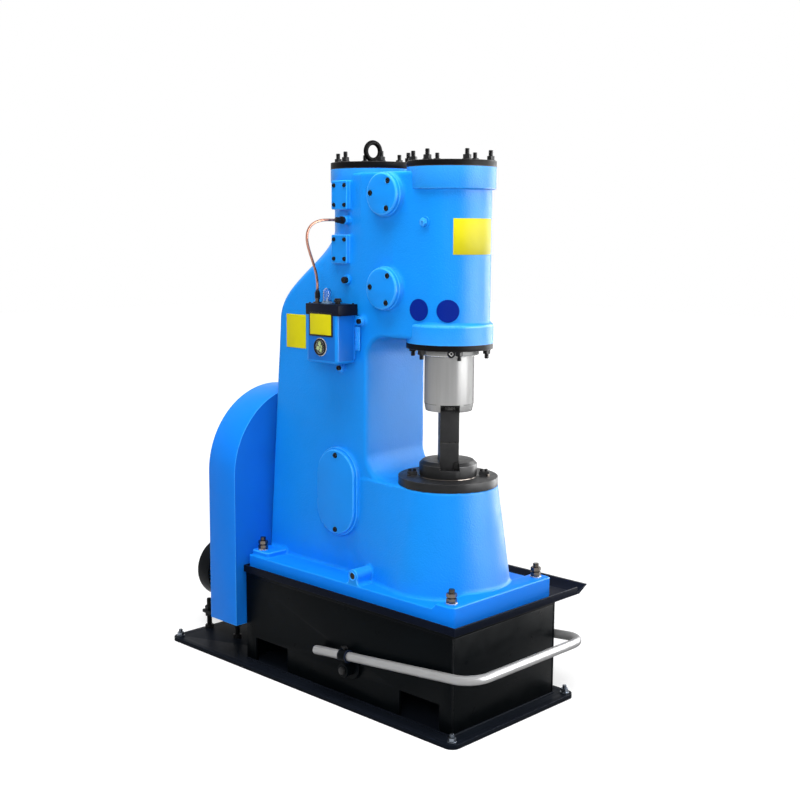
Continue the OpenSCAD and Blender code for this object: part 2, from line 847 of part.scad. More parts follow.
// Centre line of the pipe from the cylinder's fitting round to the lid's fitting
pipe_points = [[inlet_x, -inlet_seat - inlet_len - pipe_gap, inlet_z], [inlet_x, -165, inlet_z],
    [inlet_x - 1, -178, inlet_z], [-80, -196, 1267], [-85, -214, 1262],
    [-89, -228, 1252], [-92, -236, 1236], [-96, -234, 1214], [-103, -220, 1188],
    [-112, -200, 1160], [-123, -180, 1134], [-132, -167, 1112], [outlet_x, outlet_y, 1100],
    [outlet_x, outlet_y, lid_top + outlet_h + pipe_gap]];

// Catmull-Rom point between p[i] and p[i + 1]
function spline_at(p, i, t) =
    let (n = len(p) - 1, a = p[max(i - 1, 0)], b = p[i], c = p[i + 1], d = p[min(i + 2, n)])
    0.5 * (2 * b + (c - a) * t + (2 * a - 5 * b + 4 * c - d) * t * t
        + (3 * b - a - 3 * c + d) * t * t * t);
function spline(p, k) = concat(
    [for (i = [0:len(p) - 2], j = [0:k - 1]) spline_at(p, i, j / k)], [p[len(p) - 1]]);
function unit(v) = v / norm(v);

// Closed tube along a line of points
module tube_along(pts, r, sides = 10) {
    n = len(pts);
    ring = [for (i = [0:n - 1])
        let (t = unit(pts[min(i + 1, n - 1)] - pts[max(i - 1, 0)]),
            u = unit(cross(t, [1, 0, 0])), v = cross(t, u))
        for (j = [0:sides - 1]) pts[i] + r * (cos(j * 360 / sides) * u + sin(j * 360 / sides) * v)];
    walls = [for (i = [0:n - 2], j = [0:sides - 1])
        let (k = (j + 1) % sides, a = i * sides) [a + j, a + sides + j, a + sides + k, a + k]];
    polyhedron(ring, concat(walls, [[for (j = [0:sides - 1]) j]],
        [[for (j = [sides - 1:-1:0]) (n - 1) * sides + j]]), convexity = 6);
}

module oil_pipe() {
    color("peru") tube_along(spline(pipe_points, 4), pipe_d / 2);
}

// ---- Belt guard and drive ----

guard_front_x = -box_len / 2 - guard_gap;
guard_rear_x = guard_front_x - guard_depth;

// Arch shape of the guard: straight sides under a round top
module arch(r, bottom) {
    union() {
        translate([0, crank_z]) circle(r, $fn = 96);
        translate([-r, bottom]) square([2 * r, crank_z - bottom]);
    }
}

module belt_guard_front() {
    color(blue) slab_yz(guard_front_x - guard_t, guard_front_x) difference() {
        arch(guard_r - guard_t, guard_bottom);
        translate([0, crank_z]) circle(d = crank_d + 10);
    }
}

module belt_guard_rear() {
    color(blue) slab_yz(guard_rear_x, guard_rear_x + guard_t) difference() {
        arch(guard_r - guard_t, guard_bottom);
        translate([0, motor_z]) circle(d = motor_shaft_d + 16);
    }
}

module belt_guard_rim() {
    color(blue) slab_yz(guard_rear_x, guard_front_x) difference() {
        arch(guard_r, guard_bottom);
        arch(guard_r - guard_t, guard_bottom - eps);
    }
}

pulley_x0 = (guard_front_x + guard_rear_x) / 2 - pulley_w / 2;

module along_x(x, z, r, h) {
    translate([x, 0, z]) rotate([0, 90, 0]) cylinder(r = r, h = h);
}

module crank_pulley() {
    color("dimgray") union() {
        along_x(pulley_x0, crank_z, crank_pulley_r, pulley_w);
        along_x(pulley_x0, crank_z, crank_d / 2, guard_front_x - pulley_x0);
    }
}

module motor_pulley() {
    color("dimgray") union() {
        along_x(pulley_x0, motor_z, motor_pulley_r, pulley_w);
        along_x(guard_rear_x - motor_gap, motor_z, motor_shaft_d / 2,
            pulley_x0 + eps - guard_rear_x + motor_gap);
    }
}

// Outline of a belt loop round both pulleys, standing t outside them
module belt_loop(t) {
    a = asin((crank_pulley_r - motor_pulley_r) / (crank_z - motor_z));
    polygon(concat(arc(0, crank_z, crank_pulley_r + t, -a, 180 + a, 48),
        arc(0, motor_z, motor_pulley_r + t, 180 + a, 360 - a, 20)));
}

module drive_belts() {
    w = pulley_w - 12;
    color("#222222") slab_yz(pulley_x0 + 6, pulley_x0 + 6 + w) difference() {
        belt_loop(belt_gap + belt_t);
        belt_loop(belt_gap);
    }
}

motor_front_x = guard_rear_x - motor_gap;
motor_rear_x = motor_front_x - motor_len;
motor_plate_x1 = motor_front_x - 9;
motor_plate_x0 = motor_plate_x1 - motor_plate_len;
foot_y = 80;
// Lengths of the motor's nose, its end shield and its fan cover
nose_len = 12;
shield_len = 20;
fan_cover_len = 60;

module motor_body() {
    color(black) union() {
        along_x(motor_front_x - nose_len, motor_z, motor_r - 22, nose_len);
        along_x(motor_front_x - nose_len - shield_len, motor_z, motor_r, shield_len);
        along_x(motor_rear_x + fan_cover_len - 5, motor_z, motor_r - 2,
            motor_len - fan_cover_len - shield_len);
        along_x(motor_rear_x, motor_z, motor_r - 3, fan_cover_len);
        for (x = [motor_plate_x0 + 12, motor_plate_x1 - 12 - 34], side = [-1, 1]) {
            y0 = side * foot_y;
            box_at(x, x + 34, min(y0 - 20, y0 + 20), max(y0 - 20, y0 + 20),
                motor_plate_z, motor_plate_z + 12);
            box_at(x + 8, x + 26, min(y0 - 15, y0 + 15), max(y0 - 15, y0 + 15),
                motor_plate_z, motor_z - 40);
        }
    }
}

module motor_terminal_box() {
    x_mid = (motor_front_x + motor_rear_x) / 2 + 10;
    color(black) difference() {
        box_at(x_mid - 50, x_mid + 50, -48, 48, motor_z + motor_r - 16, motor_z + motor_r + 46);
        along_x(x_mid - 60, motor_z, motor_r - 2, 120);
    }
}

jack_xs = [motor_plate_x0 + 14, motor_plate_x1 - 14];
jack_y = motor_plate_w / 2 - 16;

module motor_plate() {
    color(black) difference() {
        box_at(motor_plate_x0, motor_plate_x1, -motor_plate_w / 2, motor_plate_w / 2,
            motor_plate_z - motor_plate_t, motor_plate_z);
        for (x = jack_xs, side = [-1, 1])
            translate([x, side * jack_y, motor_plate_z - motor_plate_t - eps])
                cylinder(d = jack_d + 1, h = motor_plate_t + 2 * eps);
    }
}

// Four threaded rods with a nut at the foot and a nut on each side of the motor plate
module motor_jack_rods() {
    color(black) for (x = jack_xs, side = [-1, 1]) translate([x, side * jack_y, 0]) {
        translate([0, 0, plate_t]) cylinder(d = jack_d, h = jack_top - plate_t);
        translate([0, 0, plate_t]) nut();
        translate([0, 0, motor_plate_z - motor_plate_t - nut_h]) nut();
        translate([0, 0, motor_plate_z]) nut();
    }
}

nut_h = 11;
module nut() { cylinder(d = jack_d * 1.7, h = nut_h, $fn = 6); }

// ---- Treadle ----

pivot = [pivot_x, 0, pivot_z];
bearing_spigot_d = 44;
bearing_cheek = 12;

// Children in the frame of the sloping treadle: origin on the pivot axis, X along the arms
module at_treadle() { translate(pivot) rotate([0, -treadle_slope, 0]) children(); }

arm_front = (treadle_front - pivot_x) / cos(treadle_slope);
arm_end = (pivot_x - treadle_end) / cos(treadle_slope);
bore_depth = 80;

// One side of the bent pipe: its arm, its bend and half of the front bar
module treadle_half() {
    run = arm_front - treadle_bend;
    translate([run, treadle_y - treadle_bend, 0]) rotate_extrude(angle = 90)
        translate([treadle_bend, 0]) circle(d = treadle_d);
    translate([-arm_end, treadle_y, 0]) rotate([0, 90, 0])
        cylinder(d = treadle_d, h = arm_end + run);
    translate([arm_front, 0, 0]) rotate([-90, 0, 0])
        cylinder(d = treadle_d, h = treadle_y - treadle_bend);
}

module treadle_bar() {
    color(steel) at_treadle() translate([0, 0, pivot_drop]) difference() {
        union() {
            treadle_half();
            mirror([0, 1, 0]) treadle_half();
        }
        for (side = [-1, 1]) translate([-arm_end - eps, side * treadle_y, 0])
            rotate([0, 90, 0]) cylinder(d = treadle_bore, h = bore_depth);
    }
}

clamp_w = 26;
clamp_r = treadle_d / 2 + 5.5;
shaft_half = treadle_y + clamp_w / 2 + 6;

// Split clamp round each arm, with the lug below it that holds the shaft
module treadle_clamps() {
    color(black) at_treadle() for (side = [-1, 1]) translate([0, side * treadle_y, 0]) difference() {
        union() {
            translate([-clamp_w / 2, 0, pivot_drop]) rotate([0, 90, 0])
                cylinder(r = clamp_r, h = clamp_w);
            translate([0, clamp_w / 2, 0]) rotate([90, 0, 0])
                cylinder(r = pivot_d / 2 + 8, h = clamp_w);
            translate([-9, -9, 0]) cube([18, 18, pivot_drop]);
        }
        translate([-clamp_w / 2 - eps, 0, pivot_drop]) rotate([0, 90, 0])
            cylinder(d = treadle_d, h = clamp_w + 2 * eps);
        translate([0, clamp_w / 2 + eps, 0]) rotate([90, 0, 0])
            cylinder(d = pivot_d, h = clamp_w + 2 * eps);
    }
}

module treadle_shaft() {
    color(steel) translate([pivot_x, shaft_half, pivot_z]) rotate([90, 0, 0])
        cylinder(d = pivot_d, h = 2 * shaft_half);
}

// Flanged bearing in each long wall, in which the shaft turns
module treadle_bearings() {
    color(black) for (side = [-1, 1]) translate([pivot_x, side * half_w, pivot_z])
        rotate([side > 0 ? -90 : 90, 0, 0]) difference() {
            union() {
                translate([0, 0, -box_wall - bearing_cheek])
                    cylinder(d = bearing_spigot_d, h = box_wall + bearing_cheek);
                cylinder(d = bearing_spigot_d + 16, h = 6);
            }
            translate([0, 0, -box_wall - bearing_cheek - eps])
                cylinder(d = pivot_d + 2 * pivot_gap, h = box_wall + bearing_cheek + 6 + 2 * eps);
        }
}

base_plate();
base_wall_near();
base_wall_far();
base_wall_front();
base_wall_rear();
base_lid();
drip_pan();
frame_casting();
front_cylinder_cap();
rear_cylinder_cap();
lifting_eye();
gland_flange();
guide_ring();
ram();
top_die();
top_die_key();
anvil_disc();
sow_block();
bottom_die();
bottom_die_key();
valve_covers();
port_covers();
inspection_cover();
oil_fittings();
oil_pipe();
lubricator_bracket();
lubricator_tank();
lubricator_lid();
lubricator_dome();
lubricator_filler_cap();
lubricator_sight_glass();
belt_guard_front();
belt_guard_rear();
belt_guard_rim();
crank_pulley();
motor_pulley();
drive_belts();
motor_body();
motor_terminal_box();
motor_plate();
motor_jack_rods();
treadle_bar();
treadle_clamps();
treadle_shaft();
treadle_bearings();
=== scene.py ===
import bpy, bmesh, math, random
import numpy as np
from math import cos, sin, pi, radians
from mathutils import Matrix, Vector
from mathutils.geometry import tessellate_polygon


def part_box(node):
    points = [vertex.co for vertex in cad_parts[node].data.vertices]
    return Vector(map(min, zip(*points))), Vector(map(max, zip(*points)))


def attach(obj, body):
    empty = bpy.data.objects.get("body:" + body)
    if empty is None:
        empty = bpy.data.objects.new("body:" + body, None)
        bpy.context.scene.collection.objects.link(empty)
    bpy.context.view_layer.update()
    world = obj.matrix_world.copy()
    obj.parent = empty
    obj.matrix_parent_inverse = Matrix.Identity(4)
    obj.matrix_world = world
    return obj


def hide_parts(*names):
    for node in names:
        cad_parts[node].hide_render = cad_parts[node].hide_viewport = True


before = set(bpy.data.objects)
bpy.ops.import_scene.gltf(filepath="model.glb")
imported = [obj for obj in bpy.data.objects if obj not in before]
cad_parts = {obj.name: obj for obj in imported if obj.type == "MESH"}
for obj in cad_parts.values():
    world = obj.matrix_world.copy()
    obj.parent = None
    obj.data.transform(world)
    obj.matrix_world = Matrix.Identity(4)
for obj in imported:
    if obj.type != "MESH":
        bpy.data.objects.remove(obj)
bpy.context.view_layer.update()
MM = 0.001
TAU = 2 * pi
random.seed(7)
SIDES = (-1, 1)
CORNERS = [(a, b) for a in SIDES for b in SIDES]


def box_mm(node_name):
    lo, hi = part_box(node_name)
    return [c * 1000 for c in lo], [c * 1000 for c in hi]


def disc_mm(node_name):
    """Centre x, radius, lowest z and highest z of an upright disc."""
    (x0, _, z0), (x1, _, z1) = box_mm(node_name)
    return (x0 + x1) / 2, (x1 - x0) / 2, z0, z1


# ---- sizes, from the frame where it has them
(CX0, CY0, PAN_FLOOR), (CX1, CY1, _) = box_mm("frame_casting")
RAM_X, COLLAR_R, FRONT_TOP, FRONT_CAP = disc_mm("front_cylinder_cap")
REAR_X, RIM_R, REAR_TOP, REAR_CAP = disc_mm("rear_cylinder_cap")
_, _, GLAND_LOW, GLAND_FACE = disc_mm("gland_flange")
SEAT_Z = box_mm("anvil_disc")[0][2]
(PLATE_X0, _, _), (PLATE_X1, PLATE_Y, PLATE_TOP) = box_mm("base_plate")
(BOX_X0, _, _), (BOX_X1, HALF_W, _) = box_mm("base_lid")
FOOT_X0, FOOT_X1 = CX0 + 1.5, BOX_X1 - 6.5
FOOT_TOP, PAD_TOP = PAN_FLOOR + 43, PAN_FLOOR + 58
HALF_FOOT, HALF_COL = 197.5, 115.0
CYL_R, REAR_R = 103.5, RIM_R - 11.1  # the cylinders below their collars
CHEEK_X, PED_X = 97.0, -61.0  # where the flat cheek meets the front cylinder, and the pedestal
THROAT_TOP, SHOULDER_Z, REAR_START, CREST_Z = 967, 985, 1242, 1390
VALVES = [(77, 1333), (77, 1094.5)]
PORTS = [(REAR_X, 1333), (REAR_X, 1192)]
HATCH = (-97, 538)
DRAIN = (35, 342)
BRACKET_BOLTS = [(-10, 1006), (-86, 877)]
INLET = (-76, 1268)
VALVE_FACE, PORT_FACE = 126.6, 116.6  # how far the cast bosses stand out
NOWHERE = 1e9


# ---- materials
def feed(nt, n, **inputs):
    """Gives inputs of a node, by name with _ for a space or by number as i0, a value or what feeds them."""
    for k, v in inputs.items():
        socket = n.inputs[int(k[1:]) if k[1:].isdigit() else k.replace("_", " ")]
        if isinstance(v, bpy.types.Node):
            v = v.outputs[0]
        if isinstance(v, bpy.types.NodeSocket):
            nt.links.new(v, socket)
        else:
            socket.default_value = v
    return n


def node(nt, kind, settings=(), **inputs):
    """A new shader node, with its settings and its inputs."""
    n = nt.nodes.new("ShaderNode" + kind)
    for k, v in dict(settings).items():
        setattr(n, k, v)
    return feed(nt, n, **inputs)


def blank(name):
    m = bpy.data.materials.new(name)
    m.use_nodes = True
    return m, m.node_tree, m.node_tree.nodes["Principled BSDF"]


M = {}
MULTIPLY = {"operation": "MULTIPLY"}


def shade(key, name, base, rough, vary, patch, bumps, rough_vary=0.08, metallic=0.0, spec=0.5, stretch=(1, 1, 1),
          tint=None, edge_highlight=None, hollow_shade=None, dust=None):
    """Procedural material M[key]: patchy colour and roughness, a chain of bumps, lighter sharp edges (a painted
    highlight), darker hollows (painted shade), dust.
    """
    M[key], nt, p = blank(name)
    place = node(nt, "Mapping", Vector=node(nt, "TexCoord").outputs["Object"], Scale=stretch)
    geo = node(nt, "NewGeometry").outputs

    def noise(scale, detail, **more):
        return node(nt, "TexNoise", Vector=place, Scale=scale, Detail=detail, **more)

    def ranged(value, lo, hi, to_lo=0.0, to_hi=1.0):
        return node(nt, "MapRange", Value=value, From_Min=lo, From_Max=hi, To_Min=to_lo, To_Max=to_hi)

    def over(under, factor, colour):
        return node(nt, "Mix", {"data_type": "RGBA"}, A=under, B=(*colour, 1), Factor=factor).outputs["Result"]

    big = noise(patch, 6.0, Roughness=0.6)
    colour = over((*(c * (1 - vary) for c in base), 1), ranged(big, 0.3, 0.7), [min(1, c * (1 + vary)) for c in base])
    # edges that pointiness paints lighter are a painted highlight; hollows that it paints darker are painted shade
    if edge_highlight:
        colour = over(colour, ranged(geo["Pointiness"], edge_highlight[1], edge_highlight[2], 0, edge_highlight[3]), edge_highlight[0])
    if hollow_shade:
        colour = over(colour, ranged(geo["Pointiness"], hollow_shade[2], hollow_shade[1], 0, hollow_shade[3]), hollow_shade[0])
    if dust:
        up = node(nt, "SeparateXYZ", i0=geo["Normal"]).outputs["Z"]
        colour = over(colour, node(nt, "Math", MULTIPLY, i0=ranged(up, 0.5, 1.0, 0, dust[1]), i1=big), dust[0])
    below = {}
    for scale, depth, *detail in bumps:
        height = noise(scale, detail[0] if detail else 2.0)
        below = {"Normal": node(nt, "Bump", Strength=1.0, Distance=depth, Height=height, **below)}
    if tint:
        feed(nt, p, Specular_Tint=(*tint, 1))
    feed(nt, p, Base_Color=colour, Metallic=metallic, Specular_IOR_Level=spec, **below,
         Roughness=ranged(noise(patch * 5, 5.0), 0.3, 0.7, rough - rough_vary, rough + rough_vary))


def glass(key, name, tint, rough):
    M[key], nt, p = blank(name)
    fine = node(nt, "TexNoise", Vector=node(nt, "TexCoord").outputs["Object"], Scale=220.0, Detail=2.0)
    feed(nt, p, Base_Color=(*tint, 1), Transmission_Weight=1.0, IOR=1.46,
         Roughness=node(nt, "MapRange", Value=fine, To_Min=rough * 0.6, To_Max=rough * 1.6),
         Normal=node(nt, "Bump", Strength=0.6, Distance=0.00003, Height=fine))


# key, name, colour, roughness, how far the colour varies, size of its patches, bumps (scale, metres deep, detail)
BLUE = (0.0060, 0.255, 0.82)
# the casting's sharp edges are painted a lighter blue, a painted highlight, and its hollows a darker blue, painted
# shade
shade("casting", "blue_casting", BLUE, 0.40, 0.035, 5, ((14, 0.0011), (240, 0.00075), (420, 0.00010)), 0.05,
      spec=0.15, tint=(0.80, 0.96, 1.0), edge_highlight=((0.08, 0.42, 0.95), 0.53, 0.60, 0.30),
      hollow_shade=((0.003, 0.10, 0.45), 0.42, 0.48, 0.5))
# the foot's blue is a little darker than the casting's, painted shade on the low foot, and it is also less glossy
shade("foot", "blue_foot_shaded", (0.0050, 0.215, 0.90), 0.45, 0.03, 5, ((14, 0.0006), (420, 0.00007)), 0.04, spec=0.03)
shade("blue", "blue_cover", BLUE, 0.36, 0.03, 9, ((30, 0.0004), (420, 0.00007)), 0.05, spec=0.14)
# the second, darker copy of the guard's blue is painted shade, for the faces that the column shades
for key, base in (("sheet", (0.0045, 0.212, 0.86)), ("sheet_painted_shade", (0.0055, 0.150, 0.62))):
    shade(key, "blue_" + key, base, 0.38, 0.03, 4, ((5, 0.0020, 1.0), (500, 0.00006)), 0.05, spec=0.09)
shade("tank", "blue_tank", (0.0040, 0.150, 0.60), 0.34, 0.03, 9, ((30, 0.0003), (420, 0.00006)), 0.05, spec=0.12)
shade("black", "black_enamel", (0.0014, 0.0023, 0.0030), 0.34, 0.25, 6, ((6, 0.0007, 1.0), (520, 0.00005)), 0.07,
      spec=0.03, dust=((0.006, 0.007, 0.009), 0.4))
shade("pan", "pan_enamel", (0.0032, 0.0052, 0.0125), 0.34, 0.2, 5, ((5, 0.0006, 1.0), (520, 0.00005)), 0.05,
      spec=0.02, dust=((0.005, 0.008, 0.018), 0.4))
shade("plate", "plate_enamel", (0.0048, 0.0066, 0.0105), 0.42, 0.10, 3, ((4, 0.0005, 1.0), (480, 0.00005)), 0.03,
      spec=0.015, dust=((0.009, 0.011, 0.016), 0.5))
shade("cap", "cap_enamel", (0.0045, 0.0043, 0.0045), 0.45, 0.2, 12, ((60, 0.0003, 3.0), (600, 0.00006)), spec=0.04)
shade("ground", "ground_steel", (0.32, 0.32, 0.318), 0.33, 0.06, 6, ((30, 0.00010, 3.0), (110, 0.00003, 3.0)), 0.05,
      metallic=0.17, spec=0.0, tint=(0.2, 0.2, 0.2), stretch=(14, 14, 0.6))
shade("turned", "turned_steel", (0.35, 0.35, 0.348), 0.36, 0.08, 8, ((60, 0.00008, 3.0),), 0.06,
      metallic=0.06, spec=0.0, tint=(0.2, 0.2, 0.2), stretch=(1, 1, 20))
shade("pipe", "polished_pipe", (0.32, 0.32, 0.322), 0.32, 0.05, 9, ((90, 0.00006, 3.0), (900, 0.000015)), 0.04,
      metallic=0.48, spec=0.0, tint=(0.3, 0.3, 0.3))
shade("die", "die_steel", (0.020, 0.020, 0.021), 0.42, 0.25, 26, ((40, 0.0004, 4.0), (400, 0.00006)), 0.09, spec=0.12)
shade("disc", "anvil_black", (0.0135, 0.0138, 0.0145), 0.38, 0.25, 16, ((50, 0.0003, 3.0), (500, 0.00006)), spec=0.12)
shade("key", "key_steel", (0.010, 0.010, 0.010), 0.4, 0.15, 20, ((80, 0.0002, 3.0),), spec=0.08)
shade("fastener", "blackened_steel", (0.0075, 0.0075, 0.0080), 0.40, 0.3, 60, ((300, 0.00010),), 0.1, spec=0.15)
shade("bolt", "bolt_steel", (0.15, 0.17, 0.20), 0.22, 0.3, 60, ((260, 0.00012),), 0.06, metallic=0.9)
# its hollows, the gaps between nuts and washers, are painted darker and browner: painted shade
shade("zinc", "zinc_steel", (0.115, 0.100, 0.088), 0.19, 0.3, 60, ((260, 0.00012),), 0.05, metallic=0.95,
      hollow_shade=((0.03, 0.02, 0.012), 0.40, 0.47, 0.7))
shade("copper", "copper_pipe", (0.42, 0.20, 0.14), 0.32, 0.15, 30, ((160, 0.0001),), metallic=0.8)
shade("lid", "lid_plastic", (0.0050, 0.0068, 0.0160), 0.36, 0.15, 20, ((700, 0.00006),), 0.06, spec=0.06)
shade("plastic", "black_plastic", (0.007, 0.007, 0.008), 0.30, 0.15, 30, ((700, 0.00005),), 0.06, spec=0.15)
shade("belt", "belt_rubber", (0.012, 0.012, 0.012), 0.62, 0.2, 20, ((300, 0.0002, 3.0),), 0.1, spec=0.2)
shade("iron", "grey_iron", (0.07, 0.07, 0.072), 0.45, 0.15, 10, ((120, 0.0002, 3.0),), metallic=0.5, spec=0.2)
shade("yellow", "yellow_plate", (0.66, 0.60, 0.010), 0.38, 0.03, 30, ((300, 0.00004),), 0.04, spec=0.06)
shade("navy", "navy_plate", (0.002, 0.017, 0.24), 0.34, 0.03, 30, ((300, 0.00004),), 0.04, spec=0.05)
shade("yellow_dark", "yellow_rivet", (0.55, 0.45, 0.03), 0.3, 0.05, 30, ((300, 0.00004),), metallic=0.3)
shade("ring", "clear_ring", (0.10, 0.17, 0.26), 0.25, 0.1, 30, ((300, 0.00004),), spec=0.4)
shade("brown", "gasket_brown", (0.030, 0.018, 0.010), 0.6, 0.3, 40, ((300, 0.0001),), spec=0.1)
shade("motor", "motor_enamel", (0.0018, 0.0028, 0.0042), 0.40, 0.25, 10, ((80, 0.0002, 3.0), (520, 0.00005)), 0.07,
      spec=0.03)
shade("motor_dark", "motor_inside", (0.003, 0.003, 0.0032), 0.6, 0.2, 30, ((300, 0.0001),), spec=0.03)
shade("oil", "oil_gauge_face", (0.60, 0.72, 0.38), 0.35, 0.1, 60, ((300, 0.00005),), 0.05, spec=0.2)
# bevels, lighter than most of the pieces they edge, paint highlights along the edges: colour, roughness, how far the
# colour varies, fine bump, metal, gloss
for name, base, rough, vary, bump, metallic, spec in (
        ("blue_edge", (0.030, 0.35, 0.95), 0.30, 0.05, (420, 0.00005), 0.0, 0.25),
        ("black_edge", (0.0026, 0.0034, 0.0046), 0.32, 0.2, (520, 0.00005), 0.0, 0.04),
        ("pan_edge", (0.0080, 0.0125, 0.027), 0.28, 0.2, (520, 0.00005), 0.0, 0.08),
        ("cap_edge", (0.028, 0.026, 0.025), 0.35, 0.2, (520, 0.00005), 0.0, 0.2),
        ("steel_edge", (0.55, 0.55, 0.54), 0.25, 0.08, (300, 0.00004), 0.8, 0.5),
        ("die_edge", (0.045, 0.044, 0.043), 0.3, 0.2, (400, 0.00006), 0.3, 0.2),
        ("anvil_edge", (0.055, 0.055, 0.056), 0.28, 0.2, (400, 0.00006), 0.0, 0.4)):
    shade(name, name, base, rough, vary, 20, (bump,), metallic=metallic, spec=spec)
glass("dome", "clear_dome", (0.70, 0.79, 0.90), 0.12)
glass("window", "gauge_window", (0.95, 1.0, 0.85), 0.02)
# the bevel colour of each material: most are lighter than the material, a painted highlight along its edges (the
# tank's rounded corners take the lighter cover blue); the key's and the lid's are darker
EDGE_OF = dict(blue="blue_edge", tank="blue", sheet="blue_edge", black="black_edge", pan="pan_edge", plate="pan_edge",
               cap="cap_edge", ground="steel_edge", turned="steel_edge", die="die_edge", disc="anvil_edge",
               key="fastener", lid="black_edge")


# ---- mesh helpers, in millimetres
class Shape:
    """Points and faces in millimetres, collected from several builders, each face with a material index."""

    def __init__(self):
        self.v, self.f, self.m = [], [], []

    def add(self, v, f, mat=0, matrix=None):
        b = len(self.v)
        v = [matrix @ Vector(p) for p in v] if matrix is not None else v
        self.v += [tuple(p) for p in v]
        self.f += [tuple(i + b for i in q) for q in f]
        self.m += list(mat) if isinstance(mat, (list, tuple)) else [mat] * len(f)
        return self


def finish_mesh(name, bm, mats, body, smooth, nodes=()):
    """An object from a bmesh; mats are keys of M, and nodes are the CAD nodes that it stands for."""
    me = bpy.data.meshes.new(name)
    bm.to_mesh(me)
    bm.free()
    for key in mats.split():
        me.materials.append(M[key])
    ob = bpy.data.objects.new(name, me)
    bpy.context.scene.collection.objects.link(ob)
    me.shade_smooth()
    me.set_sharp_from_angle(angle=radians(smooth))
    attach(ob, body)
    if nodes:
        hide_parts(*nodes)
    return ob


def bevel_edges(bm, width, segs=2, angle=30, pick=None, material=-1):
    bm.normal_update()
    edges = [e for e in bm.edges if len(e.link_faces) == 2 and e.calc_face_angle(0) > radians(angle)
             and (pick is None or pick(e))]
    if edges:
        bmesh.ops.bevel(bm, geom=edges, offset=width * MM, offset_type="OFFSET", segments=segs, profile=0.5,
                        affect="EDGES", clamp_overlap=True, material=material)


def build(name, shape, mats="fastener", body="hammer", bevel=0, smooth=35, stages=(),
          stands_for=None):
    """A piece from a Shape: welded, bevelled where its edges turn sharply, smooth where they don't."""
    bm = bmesh.new()
    vs = [bm.verts.new((p[0] * MM, p[1] * MM, p[2] * MM)) for p in shape.v]
    for f, m in zip(shape.f, shape.m):
        try:
            bm.faces.new([vs[i] for i in f]).material_index = m
        except ValueError:  # the same face twice
            pass
    bmesh.ops.remove_doubles(bm, verts=bm.verts, dist=0.001 * MM)
    bmesh.ops.dissolve_degenerate(bm, edges=bm.edges, dist=1e-7)
    bmesh.ops.recalc_face_normals(bm, faces=bm.faces)
    for width, segs, pick, material in stages:
        bevel_edges(bm, width, segs, 30, pick, material)
    if bevel:
        bevel_edges(bm, bevel)
    if stands_for:
        return finish_mesh(name, bm, mats, body, smooth, [stands_for])
    return finish_mesh(name, bm, mats, body, smooth)


def dress(nodes, mat, bevel, segs=2, angle=30, name=None, body="hammer", smooth=35, pick=None):
    """A bevelled copy of one or more CAD nodes, which it replaces."""
    nodes = nodes.split()
    bm = bmesh.new()
    for n in nodes:
        bm.from_mesh(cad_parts[n].data)
    bmesh.ops.remove_doubles(bm, verts=bm.verts, dist=2e-6)
    bmesh.ops.dissolve_limit(bm, angle_limit=radians(0.6), verts=bm.verts, edges=bm.edges)
    bmesh.ops.recalc_face_normals(bm, faces=bm.faces)
    for f in bm.faces:
        f.material_index = 0
    edge = EDGE_OF.get(mat, "")
    if bevel:
        bevel_edges(bm, bevel, segs, angle, pick, 1 if edge else -1)
    return finish_mesh(name or nodes[0] + "_dressed", bm, mat + " " + edge, body, smooth, nodes)


AXES = {"z": lambda x, y, z: (x, y, z), "x": lambda x, y, z: (z, x, y), "y": lambda x, y, z: (x, z, y)}


def polar(r, a, h=0):
    return (r * cos(a), r * sin(a), h)


def shift(x, y, z):
    return Matrix.Translation((x, y, z))


def rot(degrees, axis):
    return Matrix.Rotation(radians(degrees), 4, axis)


def lathe(profile, n=48, at=(0, 0, 0), axis="z"):
    """Surface of revolution of (radius, height) points; radius 0 closes an end."""
    v, f, rows = [], [], []
    for r, h in profile:
        centre = r <= 1e-6
        rows.append([len(v)] * n if centre else list(range(len(v), len(v) + n)))
        v += [(0, 0, h)] if centre else circle(r, h, n)
    for a, b in zip(rows, rows[1:]):
        for i in range(n):
            j = (i + 1) % n
            q = list(dict.fromkeys([a[i], a[j], b[j], b[i]]))
            if len(q) > 2:
                f.append(tuple(q))
    return [tuple(c + d for c, d in zip(AXES[axis](*p), at)) for p in v], f


def prism(points, h0, h1, axis="z"):
    """A flat outline given thickness along an axis."""
    v, f = loft([[(x, y, h) for x, y in points] for h in (h0, h1)])
    return [AXES[axis](*p) for p in v], f


def block(x0, x1, y0, y1, z0, z1):
    return prism([(x0, y0), (x1, y0), (x1, y1), (x0, y1)], z0, z1)


def bands(rows, n, ring=False):
    """Quads between rows of n points that close on themselves; with ring, the last row joins the first."""
    return [(k * n + i, k * n + (i + 1) % n, (k + 1) % rows * n + (i + 1) % n, (k + 1) % rows * n + i)
            for k in range(rows if ring else rows - 1) for i in range(n)]


def loft(rows, base=True, top=True):
    n, v = len(rows[0]), [p for row in rows for p in row]
    f = bands(len(rows), n)
    if base:
        f.append(tuple(range(n - 1, -1, -1)))
    if top:
        f.append(tuple(range(len(v) - n, len(v))))
    return v, f


def circle(r, h, n=24):
    return [polar(r, TAU * i / n, h) for i in range(n)]


def hexagon(af, h, drop=0.0):
    """Row of 24 round a hexagon of width af; drop lowers its corners, as a nut's chamfer does."""
    out, small, n = [], af / 2 * 0.97, 24
    for i in range(n):
        a = TAU * i / n
        r = af / 2 / cos(abs((a + pi / 6) % (pi / 3) - pi / 6))
        out.append(polar(r, a, h - drop * (r - small)))
    return out


def nut(af, h, z=0):
    """Hexagon with the curved chamfers of a real nut, standing on z."""
    ends = [circle(af / 2 * 0.97, q) for q in (z, z + h)]
    return loft([ends[0], hexagon(af, z, drop=-0.55), hexagon(af, z + h, drop=0.55), ends[1]])


